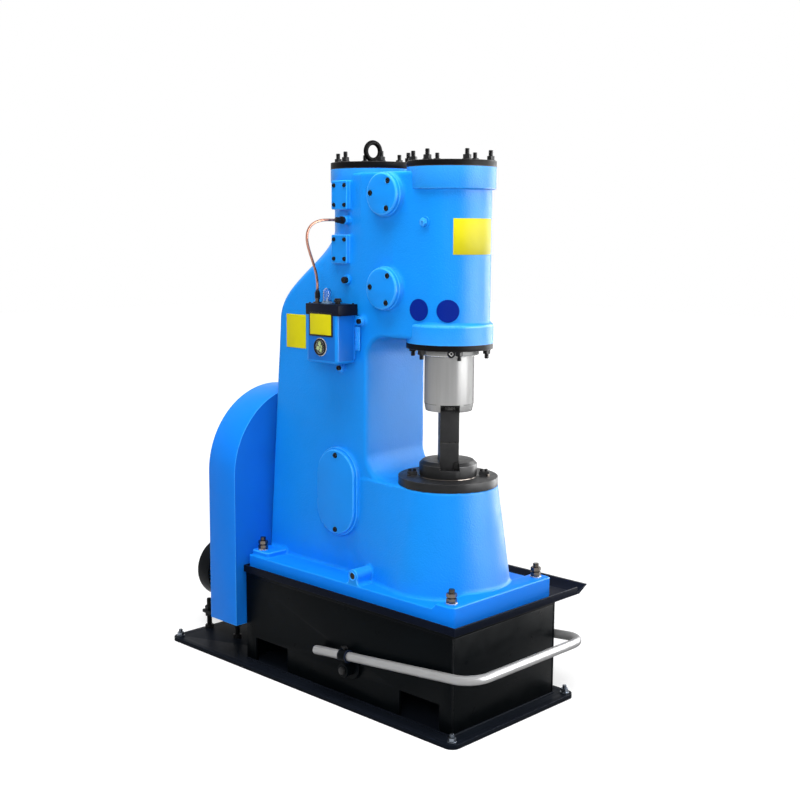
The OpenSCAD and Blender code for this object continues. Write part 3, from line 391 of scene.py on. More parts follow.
def thread(d, pitch, z0, z1):
    """A stud's thread as a real helix with a chamfered tip."""
    n = 16
    rows = (int((z1 - z0) / pitch) + 2) * 4
    depth = [0, 0, 0.11, 0.11]
    v, f = [], []
    for j in range(rows + 1):
        for i in range(n):
            z = min(max(z0 + (j / 4 + i / n - 1) * pitch, z0), z1)
            v.append(polar(min(d / 2 - depth[j % 4] * d, d / 2 - 1.0 + z1 - z), TAU * i / n, z))
    for j in range(rows):
        for i in range(n):
            a = j * n + i
            if i + 1 < n or j + 5 <= rows:
                b = a + 1 if i + 1 < n else (j + 4) * n
                f.append((a, b, b + n, a + n))
    v.append((0, 0, z1))
    top = rows * n
    return v, f + [(top + i, top + i + 1, len(v) - 1) for i in range(n - 1)]


def washer(d, bore, t, z=0):
    r, q = d / 2, bore / 2
    return lathe([(q, z), (r - 0.3, z), (r, z + 0.3), (r, z + t - 0.3), (r - 0.3, z + t), (q, z + t), (q, z)], 32)


def ring_points(cx, r, count, first):
    return [(cx + x, y) for x, y, _ in (polar(r, radians(first + 360 * i / count)) for i in range(count))]


def move(x, y, z, turn=0.0, tilt=None):
    m = shift(x, y, z) @ rot(turn, "Z")
    return m @ tilt if tilt is not None else m


def near(x, y, z, turn=0.0):
    """Frame of a part on the near side, with its own z pointing out of the machine."""
    return move(x, y, z, 0, rot(90, "X") @ rot(turn, "Z"))


def sweep(points, r, n):
    """Round tube along points, with frames carried along so that it never twists."""
    pts = [Vector(p) for p in points]
    tan = [(pts[min(i + 1, len(pts) - 1)] - pts[max(i - 1, 0)]).normalized() for i in range(len(pts))]
    up = Vector((0, 0, 1)) if abs(tan[0].z) < 0.9 else Vector((1, 0, 0))
    side = tan[0].cross(up).normalized()
    rows = []
    for p, t in zip(pts, tan):
        side = (side - t * side.dot(t)).normalized()
        up = side.cross(t)
        rows.append([tuple(p + x * side + y * up) for x, y, _ in circle(r, 0, n)])
    return loft(rows)


def head(d, h, af, depth, dome=False, z=0.0):
    """Screw head with a hexagon socket."""
    r = d / 2
    prof = [(r, 0), (r, h - 0.9), (r - 0.9, h)]
    if dome:
        prof = [(r, 0), (r, h * 0.45), (r * 0.94, h * 0.78), (r * 0.78, h)]
    return loft([circle(a, z + b) for a, b in prof]
                + [circle(af * 0.62, z + h), hexagon(af, z + h - 0.3), hexagon(af, z + h - depth)])


def rrect(w, h, r, inset, n):
    """Rounded rectangle about the origin."""
    pts = []
    for k, (sx, sy) in enumerate(((1, 1), (-1, 1), (-1, -1), (1, -1))):
        for i in range(n + 1):
            x, y, _ = polar(r - inset, pi / 2 * (k + i / n))
            pts.append((sx * (w / 2 - r) + x, sy * (h / 2 - r) + y))
    return [q for i, q in enumerate(pts) if math.dist(q, pts[i - 1]) > 1e-4]


def cover(w, h, r, t, edge, holes=(), n=8, segs=3, z0=0.0):
    """Plate with a rounded edge (material 1) and countersunk holes (x, y, wide, narrow, deep)."""
    rows = [[(x, y, z0) for x, y in rrect(w, h, r, 0, n)]]
    for s in range(segs + 1):
        a = pi / 2 * s / segs
        rows.append([(x, y, z0 + t - edge + edge * sin(a)) for x, y in rrect(w, h, r, edge * (1 - cos(a)), n)])
    v, f = loft(rows, top=False)
    c, top, m = len(rows[0]), z0 + t, 24
    mats = [0] * c + [1] * (c * segs) + [0]
    loops = [list(range(len(v) - c, len(v)))]
    for hx, hy, wide, narrow, deep in holes:
        b = len(v)
        for rr, zz in ((wide, top), (narrow, top - wide + narrow), (narrow, top - deep)):
            v += [(x + hx, y + hy, q) for x, y, q in circle(rr, zz, m)]
        f += [tuple(b + i for i in q) for q in bands(3, m)] + [tuple(range(b + 2 * m, b + 3 * m))]
        mats += [1] * m + [0] * (m + 1)
        loops.append(list(range(b, b + m)))
    flat = [i for l in loops for i in l]
    tris = tessellate_polygon([[Vector(v[i]) for i in l] for l in loops])
    return v, f + [tuple(flat[i] for i in q) for q in tris], mats + [0] * len(tris)


# ---- the casting, as one blended surface
def r_union(a, b, r):
    return np.maximum(r, np.minimum(a, b)) - np.hypot(np.maximum(r - a, 0), np.maximum(r - b, 0))


def r_cut(a, b, r):
    return np.minimum(-r, np.maximum(a, b)) + np.hypot(np.maximum(r + a, 0), np.maximum(r + b, 0))


def all_of(*parts):
    """What lies in every one of the parts."""
    out = parts[0]
    for p in parts[1:]:
        out = np.maximum(out, p)
    return out


def smooth01(t):
    t = np.clip(t, 0, 1)
    return t * t * (3 - 2 * t)


def rect(x, y, x0, x1, y0, y1, r):
    qx = np.abs(x - (x0 + x1) / 2) - (x1 - x0) / 2 + r
    qy = np.abs(y - (y0 + y1) / 2) - (y1 - y0) / 2 + r
    return np.hypot(np.maximum(qx, 0), np.maximum(qy, 0)) + np.minimum(np.maximum(qx, qy), 0) - r


def tangent(cx, cy, r, tx, ty, side):
    """Unit normal of the line through (tx, ty) that touches the circle; works on arrays."""
    dx, dy = tx - cx, ty - cy
    a = np.arctan2(dy, dx) + side * np.arccos(np.clip(r / np.hypot(dx, dy), -1, 1))
    return np.cos(a), np.sin(a)


def round_end(x, y, cx, r, tx, side, cy=0.0):
    """Distance to a rounded end: a circle at (cx, cy) tied by its tangent to the cheek at x = tx."""
    nx, ny = tangent(cx, cy, r, tx, HALF_COL, side)
    qx, qy = x - cx, y - cy
    along = (qx * ny - qy * nx) * side
    back = -side * qx - r
    return np.where(along > 0, np.maximum(qx * nx + qy * ny - r, np.where(qy < 0, back, -NOWHERE)),
                    np.where(qy < 0, back, np.hypot(qx, qy) - r))


def lumps(x, y, z):
    """Slow waves of a hand-finished casting, under half a millimetre."""
    return (np.sin(x / 31 + 1.3 * np.sin(z / 57)) * np.sin(z / 37 + 0.7)
            + np.sin(y / 23 + x / 61) * np.sin(z / 29 + 2)) * 0.16


def casting(x, y0, z):
    y = np.abs(y0)
    # foot with its pads, just inside the crisp foot that is built below, so that only the fillets show
    e = 1.3
    foot = r_cut(rect(x, y, FOOT_X0 + e, FOOT_X1 - e, -HALF_FOOT + e, HALF_FOOT - e, 14), z - FOOT_TOP + e, 5)
    pad_x = FOOT_X1 - 57
    slope = (z - PAD_TOP) * 0.7071 + (pad_x - x) * 0.7071 + e
    pad = r_cut(rect(x, y, pad_x - 60, FOOT_X1 - e, -HALF_FOOT + e, HALF_FOOT - e, 14),
                np.maximum(z - PAD_TOP + e, slope), 4)
    rear = r_cut(rect(x, y, FOOT_X0 + 8 + e, FOOT_X0 + 80 - e, HALF_FOOT - 86 + e, HALF_FOOT - 8 - e, 11),
                 z - PAD_TOP + e, 5)
    foot = r_union(r_union(foot, pad, 3), rear, 9)
    # column: straight back, turning into the rear cylinder at the shoulder
    t = (z - SHOULDER_Z) / (REAR_START - SHOULDER_Z)
    s = smooth01(np.clip(t, 0, 1) ** 1.2)
    back = FOOT_X0 - 1.5 + 0.076 * (z - PAD_TOP)
    back_top = FOOT_X0 - 1.5 + 0.076 * (SHOULDER_Z - PAD_TOP)
    x0 = np.where(t < 0, back, back_top + (REAR_X - REAR_R - back_top) * s)
    w = HALF_COL + (REAR_R - HALF_COL) * s
    r = 15 + (REAR_R - 15) * s
    rear_plan = round_end(x, y, x0 + r, r, -19.0, 1, w - r)
    throat = r_union(r_union(x, THROAT_TOP - z, 60), z - SEAT_Z, 70)
    col = r_cut(np.maximum(rear_plan, y - HALF_COL), np.maximum(throat, x - 75), 9)
    # head: the valve chest between the cylinders, above the throat
    chest = all_of(round_end(x, y, RAM_X, CYL_R, CHEEK_X, -1), y - HALF_COL, np.where(x < -19, rear_plan, -NOWHERE))
    top = np.maximum(r_cut(chest, THROAT_TOP - z, 9), np.where(x < -19, SHOULDER_Z - z, -NOWHERE))
    upper = r_cut(np.minimum(top, np.where(z > 900, col, NOWHERE)), z - CREST_Z, 7)
    body = np.where(z > 1000, upper, np.minimum(col, top))
    # cylinders
    bore = np.hypot(x - RAM_X, y)
    body = np.minimum(body, all_of(bore - CYL_R, GLAND_FACE - 12 - z, z - FRONT_TOP - 12))
    body = np.minimum(body, all_of(np.hypot(x - REAR_X, y) - REAR_R, REAR_START - z, z - REAR_TOP - 12))
    # pedestal
    r = 168.5 + (130.6 - 168.5) * np.clip((z - FOOT_TOP) / (SEAT_Z - FOOT_TOP), -0.2, 1.2)
    flare = (r - HALF_COL) * smooth01(np.clip((x + 75) / 214, 0, 1))
    ped = all_of(round_end(x, y, RAM_X, r, PED_X, -1), y - HALF_COL - flare, -75 - x, z - SEAT_Z)
    body = r_union(r_union(body, ped, 3), foot, 11)
    # crank bearing behind, bosses on the near side, drain boss
    body = r_union(body, all_of(np.hypot(y, z - 548) - 85, -399.0 - x, x + 300), 10)
    q = -y0

    def boss(dist, face, start=60):
        return r_union(body, r_cut(np.maximum(dist, start - q), q - face, 3), 5)

    for bx, bz in VALVES:
        body = boss(np.hypot(x - bx, z - bz) - 55.3, VALVE_FACE)
    for bx, bz in PORTS:
        body = boss(rect(x, z, bx - 29.5, bx + 29.5, bz - 37.5, bz + 37.5, 4), PORT_FACE, 50)
    body = boss(np.hypot(x - HATCH[0], np.maximum(np.abs(z - HATCH[1]) - 44.5, 0)) - 76.5, VALVE_FACE)
    for (bx, bz), face in zip(BRACKET_BOLTS + [INLET], (121, 121, 124)):
        body = boss(np.hypot(x - bx, z - bz) - 12.5, face)
    dx, from_drain = x - DRAIN[0], np.hypot(x - DRAIN[0], z - DRAIN[1])
    drain = np.minimum(from_drain - 16, np.maximum(np.abs(dx) - 16, np.abs(z - DRAIN[1] + 17) - 17))
    body = r_union(body, all_of(drain, 90 - q, q - HALF_FOOT + 6), 9)
    body = np.maximum(body, np.where(q > 165, 13 - from_drain, -NOWHERE))
    # bore of the ram
    body = np.maximum(body, np.where(z > 900, 66 - bore, -NOWHERE))
    return body + lumps(x, y0, z)


def surface_net(fn, lo, hi, h):
    """Quads on the zero surface of fn: a vertex in each cell of size h that it crosses, then moved onto it."""
    ax = [np.arange(a, b + h, h) for a, b in zip(lo, hi)]
    D = np.empty([len(a) for a in ax], dtype=np.float32)
    for i0 in range(0, len(ax[0]), 24):
        D[i0:i0 + 24] = fn(*np.meshgrid(ax[0][i0:i0 + 24], ax[1], ax[2], indexing="ij"))
    ins = D < 0
    nx, ny, nz = D.shape
    cell = np.zeros((nx - 1, ny - 1, nz - 1), dtype=np.int16)
    corners = [(a, b, c) for a in (0, 1) for b in (0, 1) for c in (0, 1)]
    sub = lambda A, o: A[o[0]:o[0] + nx - 1, o[1]:o[1] + ny - 1, o[2]:o[2] + nz - 1]
    for o in corners:
        cell += sub(ins, o)
    active = (cell > 0) & (cell < 8)
    ids = np.full(cell.shape, -1, dtype=np.int64)
    I = np.argwhere(active)
    ids[active] = np.arange(len(I))
    total, count = np.zeros((len(I), 3)), np.zeros(len(I))
    for a in corners:
        for k in range(3):
            if a[k]:
                continue
            b = tuple(c + (q == k) for q, c in enumerate(a))
            da, db = sub(D, a)[active].astype(float), sub(D, b)[active].astype(float)
            mixed = (da < 0) != (db < 0)
            p = np.array(a, float)[None, :].repeat(len(I), 0)
            p[:, k] += np.where(mixed, da / np.where(mixed, da - db, 1), 0)
            total += np.where(mixed[:, None], p, 0)
            count += mixed
    P = np.array([a[0] for a in ax]) + (I + total / count[:, None]) * h
    for _ in range(4):
        d = fn(*P.T)
        g = np.stack([fn(*(P + e).T) - fn(*(P - e).T) for e in np.eye(3) * 0.3], 1) / 0.6
        step = (d / np.maximum((g * g).sum(1), 0.2))[:, None] * g
        n = np.linalg.norm(step, axis=1, keepdims=True)
        P -= step * np.minimum(1, 0.4 * h / np.maximum(n, 1e-9))
    quads = []
    for k in range(3):
        i1, i2 = [q for q in range(3) if q != k]
        a, b = [slice(1, -1)] * 3, [slice(1, -1)] * 3
        a[k], b[k] = slice(0, -1), slice(1, None)
        ia, ib = ins[tuple(a)], ins[tuple(b)]
        for flip in (False, True):
            base = np.argwhere((~ia & ib) if flip else (ia & ~ib))
            base[:, [i1, i2]] += 1
            c = []
            for d1, d2 in ((-1, -1), (0, -1), (0, 0), (-1, 0)):
                o = base.copy()
                o[:, i1] += d1
                o[:, i2] += d2
                c.append(ids[o[:, 0], o[:, 1], o[:, 2]])
            c = np.stack(c, 1)
            quads.append(c[:, ::-1] if flip ^ (k == 1) else c)
    return P, np.concatenate(quads)


def make_casting():
    h = 5.3
    P, Q = surface_net(casting, (CX0 - 22, CY0 - 12, PAN_FLOOR - 12), (CX1 + 14, CY1 + 12, REAR_TOP + 22), h)
    me = bpy.data.meshes.new("casting_net")
    me.from_pydata((P * MM).tolist(), [], Q.tolist())
    bm = bmesh.new()
    bm.from_mesh(me)
    bpy.data.meshes.remove(me)
    bmesh.ops.recalc_face_normals(bm, faces=bm.faces)

    def slice_off(z, normal, keep):
        geom = [f for f in bm.faces if keep(f.calc_center_median() * 1000)]
        vs = {v for f in geom for v in f.verts}
        es = {e for f in geom for e in f.edges}
        bmesh.ops.bisect_plane(bm, geom=list(vs) + list(es) + geom, plane_co=(0, 0, z * MM), plane_no=(0, 0, normal),
                               dist=1e-7, clear_outer=True)
        edges = [e for e in bm.edges if e.is_boundary and all(abs(v.co.z - z * MM) < 1e-5 for v in e.verts)]
        bmesh.ops.triangle_fill(bm, edges=edges, use_beauty=True, normal=(0, 0, normal))

    slice_off(PAN_FLOOR, -1, lambda c: c.z < PAN_FLOOR + 8)
    slice_off(FRONT_TOP, 1, lambda c: c.z > FRONT_TOP - 10 and c.x > RAM_X - COLLAR_R - 3)
    slice_off(REAR_TOP, 1, lambda c: c.z > REAR_TOP - 10 and c.x < REAR_X + RIM_R + 3)
    slice_off(GLAND_FACE, -1, lambda c: 930 < c.z < GLAND_FACE + 6 and c.x > RAM_X - COLLAR_R - 3)
    bmesh.ops.recalc_face_normals(bm, faces=bm.faces)
    finish_mesh("casting_blue", bm, "casting", "hammer", 50, ["frame_casting"])


make_casting()

# foot, pads and drain boss with crisp edges
x0, x1, px = FOOT_X0, FOOT_X1, FOOT_X1 - 57
s = Shape().add(*prism([(x0, PAN_FLOOR), (x1, PAN_FLOOR), (x1, PAD_TOP), (px, PAD_TOP), (px - 15, FOOT_TOP),
                        (x0, FOOT_TOP)], -HALF_FOOT, HALF_FOOT, "y"))
upright = lambda e: max(abs(c) for c in (e.verts[0].co - e.verts[1].co).xy) < 1e-6
# the rounded edges of the foot and of its pads take lighter blues: painted highlights
build("foot_slab", s, "foot blue", smooth=40,
      stages=[(14, 6, upright, -1), (3.0, 3, lambda e: min(v.co.z for v in e.verts) > (PAN_FLOOR + 5) * MM, 1)])
s = Shape()
for side in SIDES:
    s.add(*cover(72, 78, 11, PAD_TOP - FOOT_TOP + 6, 3.0, n=6),
          move(FOOT_X0 + 44, side * (HALF_FOOT - 47), FOOT_TOP - 6))
build("rear_pads", s, "foot blue_edge", smooth=40)
tube = [(x, DRAIN[1] + z) for x, z, _ in (polar(17.3, radians(a)) for a in range(-30, 211, 8))]
(ex, ez), hollow = tube[0], []
for i in range(1, 8):
    u = i / 7
    hollow.append((ex * (1 - u) ** 2 + 2 * 15 * u * (1 - u) + 29 * u * u,
                   ez * (1 - u) ** 2 + 2 * (FOOT_TOP + 0.8) * u * (1 - u) + (FOOT_TOP - 0.5) * u * u))
side = tube + [(-a, b) for a, b in hollow] + [(-29, FOOT_TOP - 4), (29, FOOT_TOP - 4)] + hollow[::-1]
s = Shape().add(*prism([(DRAIN[0] + a, b) for a, b in side], -HALF_FOOT + 1.5, -120, "y"))
build("drain_boss", s, "casting blue_edge", smooth=40,
      stages=[(1.8, 3, lambda e: all(v.co.y < (-HALF_FOOT + 2) * MM for v in e.verts), 1)])


# turned collars of the cylinders, with their gaskets
def collar(cx, r, rr, z0, z1):
    """Collar r, from its cap at z0 down to its rounded end at z1, round a cylinder rr."""
    prof = [(rr - 3, z0), (r, z0), (r, z1 + 3.2), (r - 0.9, z1 + 0.9), (r - 3.2, z1), (rr + 2.6, z1 - 0.2),
            (rr + 0.9, z1 - 1.0), (rr - 0.2, z1 - 3.2), (rr - 3, z1 - 3.2), (rr - 3, z0)]
    return *lathe(prof, 128, (cx, 0, 0)), [m for m in (0, 0, 1, 1, 0, 1, 0, 0, 0) for _ in range(128)]


s = Shape()
s.add(*collar(RAM_X, COLLAR_R, CYL_R, FRONT_TOP, FRONT_TOP - 56))
s.add(*collar(REAR_X, RIM_R, REAR_R, REAR_TOP, REAR_TOP - 37))
low = ((100, 0), (112.5, 0), (112.5, 44), (111.8, 47.5), (109.6, 50.3), (106.4, 52.2), (104.2, 55), (103.2, 59),
       (100, 59), (100, 0))
s.add(*lathe([(r, GLAND_FACE + h) for r, h in low], 128, (RAM_X, 0, 0)),
      [m for m in (0, 0, 1, 1, 0, 0, 0, 0, 0) for _ in range(128)])
# the rows in material 1 take the lighter edge blue: painted highlights along the collars' rounded edges
build("cylinder_collars", s, "casting blue_edge", smooth=50)
s = Shape()
for cx, r, z in ((RAM_X, COLLAR_R, FRONT_TOP), (REAR_X, RIM_R, REAR_TOP), (RAM_X, 111.9, GLAND_FACE)):
    s.add(*lathe([(r - 8, z - 0.7), (r + 0.2, z - 0.7), (r + 0.35, z), (r + 0.2, z + 0.7), (r - 8, z + 0.7)],
                 96, (cx, 0, 0)))
build("gaskets", s, "brown")

# ---- base
for n in ("base_wall_near", "base_wall_far", "base_wall_front", "base_wall_rear"):
    dress(n, "black", 1.5)
dress("base_lid", "black", 1.5)
dress("base_plate", "plate", 2.0, segs=3)
dress("drip_pan", "pan", 1.6, segs=3, angle=20)

# ---- caps, gland, ram, dies, anvil
for n, mat, bevel, segs, body in (
        ("front_cylinder_cap", "cap", 1.2, 2, "hammer"), ("rear_cylinder_cap", "cap", 1.2, 2, "hammer"),
        ("lifting_eye", "cap", 0, 2, "hammer"), ("gland_flange", "cap", 1.0, 2, "hammer"),
        ("guide_ring", "turned", 2.0, 2, "hammer"), ("ram", "ground", 0.8, 2, "ram_set"),
        ("top_die", "die", 1.5, 3, "ram_set"), ("top_die_key", "key", 1.0, 2, "ram_set"),
        ("anvil_disc", "disc", 2.0, 3, "hammer"), ("sow_block", "disc", 1.5, 3, "hammer"),
        ("bottom_die", "die", 1.5, 3, "hammer"), ("bottom_die_key", "key", 1.0, 2, "hammer")):
    dress(n, mat, bevel, segs, body=body)

# the dark line round the foot of the ram, broken by the die's slot
s = Shape()
for a0, a1 in ((-12, 102), (168, 282)):
    line = [polar(63.84, radians(a), 800.2) for a in range(a0, a1 + 1, 3)]
    s.add(*sweep([(RAM_X + x, y, z) for x, y, z in line], 0.55, 8))
build("ram_groove", s, "key", "ram_set")

# plug in the middle of the guide ring's front
at = move(RAM_X, 0, (GLAND_LOW + 925) / 2 + 0.5, -45, shift(75, 0, 0) @ rot(90, "Y") @ Matrix.Scale(1.25, 4))
sq = lambda a, z: [(a, 0, z), (0, a, z), (-a, 0, z), (0, -a, z)]
s = Shape().add(*lathe([(8.4, -2), (8.4, 1.6), (7.4, 2.6), (5.6, 2.6)], 32), 0, at)
s.add(*loft([sq(5.6, 2.0), sq(5.4, 3.2), sq(4.6, 3.4), sq(3.4, 3.4), sq(3.2, 1.4)], base=False),
      [1] * 12 + [0] * 5, at)
s.add(*lathe([(5.8, 2.6), (5.4, 2.2), (0, 2.2)], 32), 0, at)
build("guide_plug", s, "fastener steel_edge")

s = Shape()
for a in (45, 225):
    m = move(RAM_X, 0, SEAT_Z + 32, a)
    for off in (-6, 6):
        q = m @ shift(94 + off, 0, 0)
        s.add(*washer(11, 5.4, 1.0), 0, q)
        s.add(*head(9, 5, 4, 3, z=1.0), 0, q)
    s.add(*nut(9, 5), 1, m @ shift(103, -13 if a == 45 else 13, -10))
s.add(*lathe([(r, SEAT_Z + h) for r, h in ((74, 22.2), (76.9, 22.2), (76.6, 23.2), (75.6, 23.6), (74, 23.6))],
             96, (RAM_X, 0, 0)), 1)
build("anvil_bolts", s, "fastener zinc")

# end plate of the slot that holds the top die
at = move(RAM_X, 0, 0, -45)
s = Shape().add(*block(50.5, 55.5, -20.5, 20.5, 783.5, 799), 0, at)
s.add(*block(55, 58.5, -6.5, 6.5, 788, 794.5), 1, at)
for y in (-19, 19):
    s.add(*block(54.5, 59, y - 4.5, y + 4.5, 786, 793.5), 2, at)
    s.add(*head(5.5, 3, 3, 1.5), 1, at @ shift(55.5, y * 0.55, 792) @ rot(90, "Y"))
build("die_slot_plate", s, "key die_edge motor_dark", "ram_set", bevel=0.5)

# ---- covers on the near side
s = Shape()
for x, z in VALVES:
    s.add(*cover(112.6, 112.6, 56.3, 40, 1.8, n=16), near(x, 39 - VALVE_FACE, z))
for x, z in PORTS:
    s.add(*cover(60.4, 76.4, 4.8, 45, 1.6, n=5), near(x, 44 - PORT_FACE, z))
s.add(*cover(154.4, 243.4, 77.2, 40, 1.8, n=18), near(HATCH[0], 39 - VALVE_FACE, HATCH[1]))
build("cover_bosses", s, "casting blue_edge", smooth=40)


def covers(name, stands_for, places, size, t, face, screws, screw, hole, edge):
    """Blue covers with countersunk holes, and the screws in them."""
    s, k = Shape(), Shape()
    for x, z in places:
        s.add(*cover(*size, t, edge, [(a, b) + hole for a, b in screws], n=12), near(x, -face + t, z))
        for a, b in screws:
            k.add(*head(*screw, z=-hole[2] + 0.2), 0, near(x + a, -face, z + b, random.uniform(0, 60)))
    build(name, s, "blue blue_edge", stands_for=stands_for)
    build(name + "_screws", k)


round3 = [polar(40, radians(a))[:2] for a in (56, 176, 296)]
corners = [(19.8 * a, 25.4 * b) for a, b in CORNERS]
covers("valve_cover", "valve_covers", VALVES, (108, 108, 54), 12, 139, round3, (13, 8, 6, 4.5), (8.8, 7.2, 6.8), 4.6)
covers("port_cover", "port_covers", PORTS, (59, 75, 4), 9, 126, corners, (11, 6, 5, 3.5, True), (6.4, 6.0, 3.0), 1.6)
covers("hatch_cover", "inspection_cover", [HATCH], (143, 232, 71.5), 9, 136, [(0, 100.6), (0, -104)],
       (14, 7, 6, 4, True), (8.6, 7.6, 4.0), 3.4)

# plug and pin on the cylinders, drain bush on the foot
at = near(196, -101.5, 1263, 12)
s = Shape().add(*lathe([(15, -3), (15, 2.0), (14, 3.2), (10.5, 3.6)], 40), 0, at)
s.add(*nut(19, 8, z=3.4), 1, at)
s.add(*head(9, 1.6, 5, 1.4, z=11.2), 1, at)
at = near(-70, -111, 1111.5)
s.add(*lathe([(13.5, 0), (13.5, 7.5), (12, 9.5), (0, 9.5)], 40), 0, at)
s.add(*lathe([(8.5, 9), (8.5, 19), (7.6, 20.2), (2.6, 20.6), (2.2, 18.5), (0, 18.5)], 32), 2, at)
build("cylinder_plugs", s, "blue blue_edge fastener")
at = near(DRAIN[0], -HALF_FOOT, DRAIN[1])
s = Shape().add(*lathe([(11.8, -2.5), (11.8, 0.4), (11.2, 1.0), (9.8, 1.0), (9.0, 0.2), (9.0, -1.2)]), 0, at)
# a dark disc just inside the bush: painted shade of the open drain hole
s.add(*lathe([(9.0, -1.2), (8.8, -1.3), (0, -1.35)]), 1, at)
build("drain_bush", s, "blue_edge belt")

# ---- lubricator
(_, ty0, _), (tx1, _, tz1) = box_mm("lubricator_tank")
(lx0, _, _), (lx1, _, lz1) = box_mm("lubricator_lid")
dress("oil_pipe", "copper", 0, smooth=80)
dress("lubricator_bracket", "blue", 0.8)
dress("lubricator_tank", "tank", 8.0, segs=5, pick=lambda e: min(v.co.z for v in e.verts) * 1000 < tz1 - 1)
dress("lubricator_lid", "lid", 1.2)
gauge = (-89, ty0, 937)
at = near(*gauge)
s = Shape().add(*lathe([(23.8, 0), (24.3, 0.8), (24.3, 2.6), (23.6, 3.4), (22.9, 3.4)], 56), 1, at)
s.add(*lathe([(22.9, 3.0), (22.6, 5.2), (21.4, 6.3), (19.2, 6.3), (18.1, 5.4), (17.8, 2.2), (17.2, 1.9)], 56), 0, at)
s.add(*lathe([(17.3, 1.9), (17.1, 3.1), (16.4, 3.3), (15.9, 2.9), (15.7, 1.4)], 56), 1, at)
s.add(*lathe([(15.9, 1.3), (0, 1.1)], 56), 0, at)
star = [polar(12.0 + 2.1 * cos(4 * a) + 0.5 * cos(8 * a), a + 0.35)[:2] for a in (TAU * i / 72 for i in range(72))]
s.add(*prism(star, 1.2, 2.0), 2, at)
oval = [(8.0 + 3.4 * x, 1.35 * y) for x, y, _ in circle(1, 0, 20)]
for k in range(4):
    s.add(*prism(oval, 1.9, 2.35), 0, near(*gauge, 65 + 90 * k))
s.add(*lathe([(2.2, 1.9), (2.2, 2.6), (1.6, 3.0), (0, 3.0)], 20), 0, at)
build("gauge_body", s, "plastic steel_edge oil")
s = Shape().add(*lathe([(0, 3.7), (16.8, 3.7), (17.4, 4.1), (16.0, 4.9), (9, 5.5), (0, 5.7)], 56), 0, at)
build("gauge_window", s, "window", stands_for="lubricator_sight_glass")


FITTINGS_Y, DOME_X, CAP_X = -163, -97, -56  # the row of fittings on the lid


def on_lid(profile, n, x):
    """A turned piece that stands on the lid at x."""
    return lathe([(r, lz1 + h) for r, h in profile], n, (x, FITTINGS_Y, 0))


# clear dome with its wall, ring and drip nozzle
arc = [polar(1, pi / 2 * i / 10)[:2] for i in range(1, 10)]
dome = [(9.4, 2), (11.0, 2), (11.0, 30)] + [(11 * a, 30 + 11 * b) for a, b in arc] + [(0, 41), (0, 39.4)]
dome += [(9.4 * a, 30 + 9.4 * b) for a, b in arc[::-1]] + [(9.4, 30), (9.4, 2)]
build("dome_clear", Shape().add(*on_lid(dome, 48, DOME_X)), "dome", smooth=50, stands_for="lubricator_dome")
s = Shape().add(*on_lid([(15, 0), (15, 2.2), (14.2, 3), (12.8, 3), (12.6, 5.8), (11.6, 6.4), (11.1, 6.4), (11.1, 2),
                         (0, 2)], 48, DOME_X))
s.add(*on_lid([(3.4, 2), (3.4, 9), (2.2, 11), (1.1, 17), (0, 17)], 24, DOME_X), 1)
build("dome_seat", s, "ring steel_edge")
# filler cap with its knurled rim (the last number says which rows), and the outlet and inlet fittings
rows = []
for r, h, knurl in ((7.0, 0, 0), (7.0, 5.0, 0), (9.6, 5.6, 1), (10.5, 6.3, 1), (10.5, 9.2, 1), (9.8, 9.8, 1),
                    (8.2, 10.0, 0), (8.2, 11.2, 0), (9.0, 11.6, 0), (9.0, 14.2, 0), (8.2, 15.0, 0)):
    row = [polar(r - 0.45 * knurl * (i % 2), TAU * i / 48, lz1 + h) for i in range(48)]
    rows.append([(x + CAP_X, y + FITTINGS_Y, z) for x, y, z in row])
build("filler_cap", Shape().add(*loft(rows)), "plastic", smooth=25, stands_for="lubricator_filler_cap")
at = move(-135, FITTINGS_Y, lz1)
s = Shape().add(*lathe([(12.0, 0), (12.0, 2.4), (11.2, 3.2), (7.2, 3.6), (6.0, 4.2), (5.6, 9), (6.9, 9.5), (6.9, 12),
                        (5.5, 12.6)], 32), 1, at)
s.add(*nut(13, 16, z=12.4), 0, at)
s.add(*lathe([(5.6, 28.2), (5.2, 30.5), (4.7, 33.4), (3.4, 34.0), (0, 34.0)], 24), 0, at)
at = near(INLET[0], -124, INLET[1], 20)
s.add(*nut(18, 10), 0, at)
s.add(*lathe([(6.3, 9.8), (6.3, 13)], 24), 0, at)
s.add(*nut(14, 13, z=12.6), 0, at)
s.add(*lathe([(5.4, 25.4), (5.0, 28), (4.6, 29.6), (3.4, 30.0), (0, 30.0)], 24), 0, at)
build("oil_unions", s, "fastener zinc", stands_for="oil_fittings")
# bolts of the bracket, with washers, and the little screws on the lid
s = Shape()
for bx, bz in BRACKET_BOLTS:
    at = near(bx, -125, bz)
    s.add(*washer(20, 8.4, 1.8), 1, at)
    s.add(*washer(15.5, 8.4, 1.6, 1.8), 1, at)
    s.add(*head(12.5, 7.5, 6, 4, z=3.4), 0, at)
s.add(*head(7.5, 4.5, 3.2, 2.4, True), 0, move(lx0, -178, 1036, 0, rot(-90, "Y")))
for x, y in ((lx0 + 8, -186), (lx1 - 8, -134)):
    s.add(*head(6, 2.5, 2.4, 1.4, True), 0, move(x, y, lz1))
build("lubricator_screws", s, "fastener blue_edge")
# a strip along the bracket's edge in the lighter edge blue: a painted highlight
s = Shape().add(*block(tx1 - 3, tx1 + 14, -124.6, -121.6, 928, 990))
build("bracket_edge_highlight", s, "blue_edge", bevel=0.8)


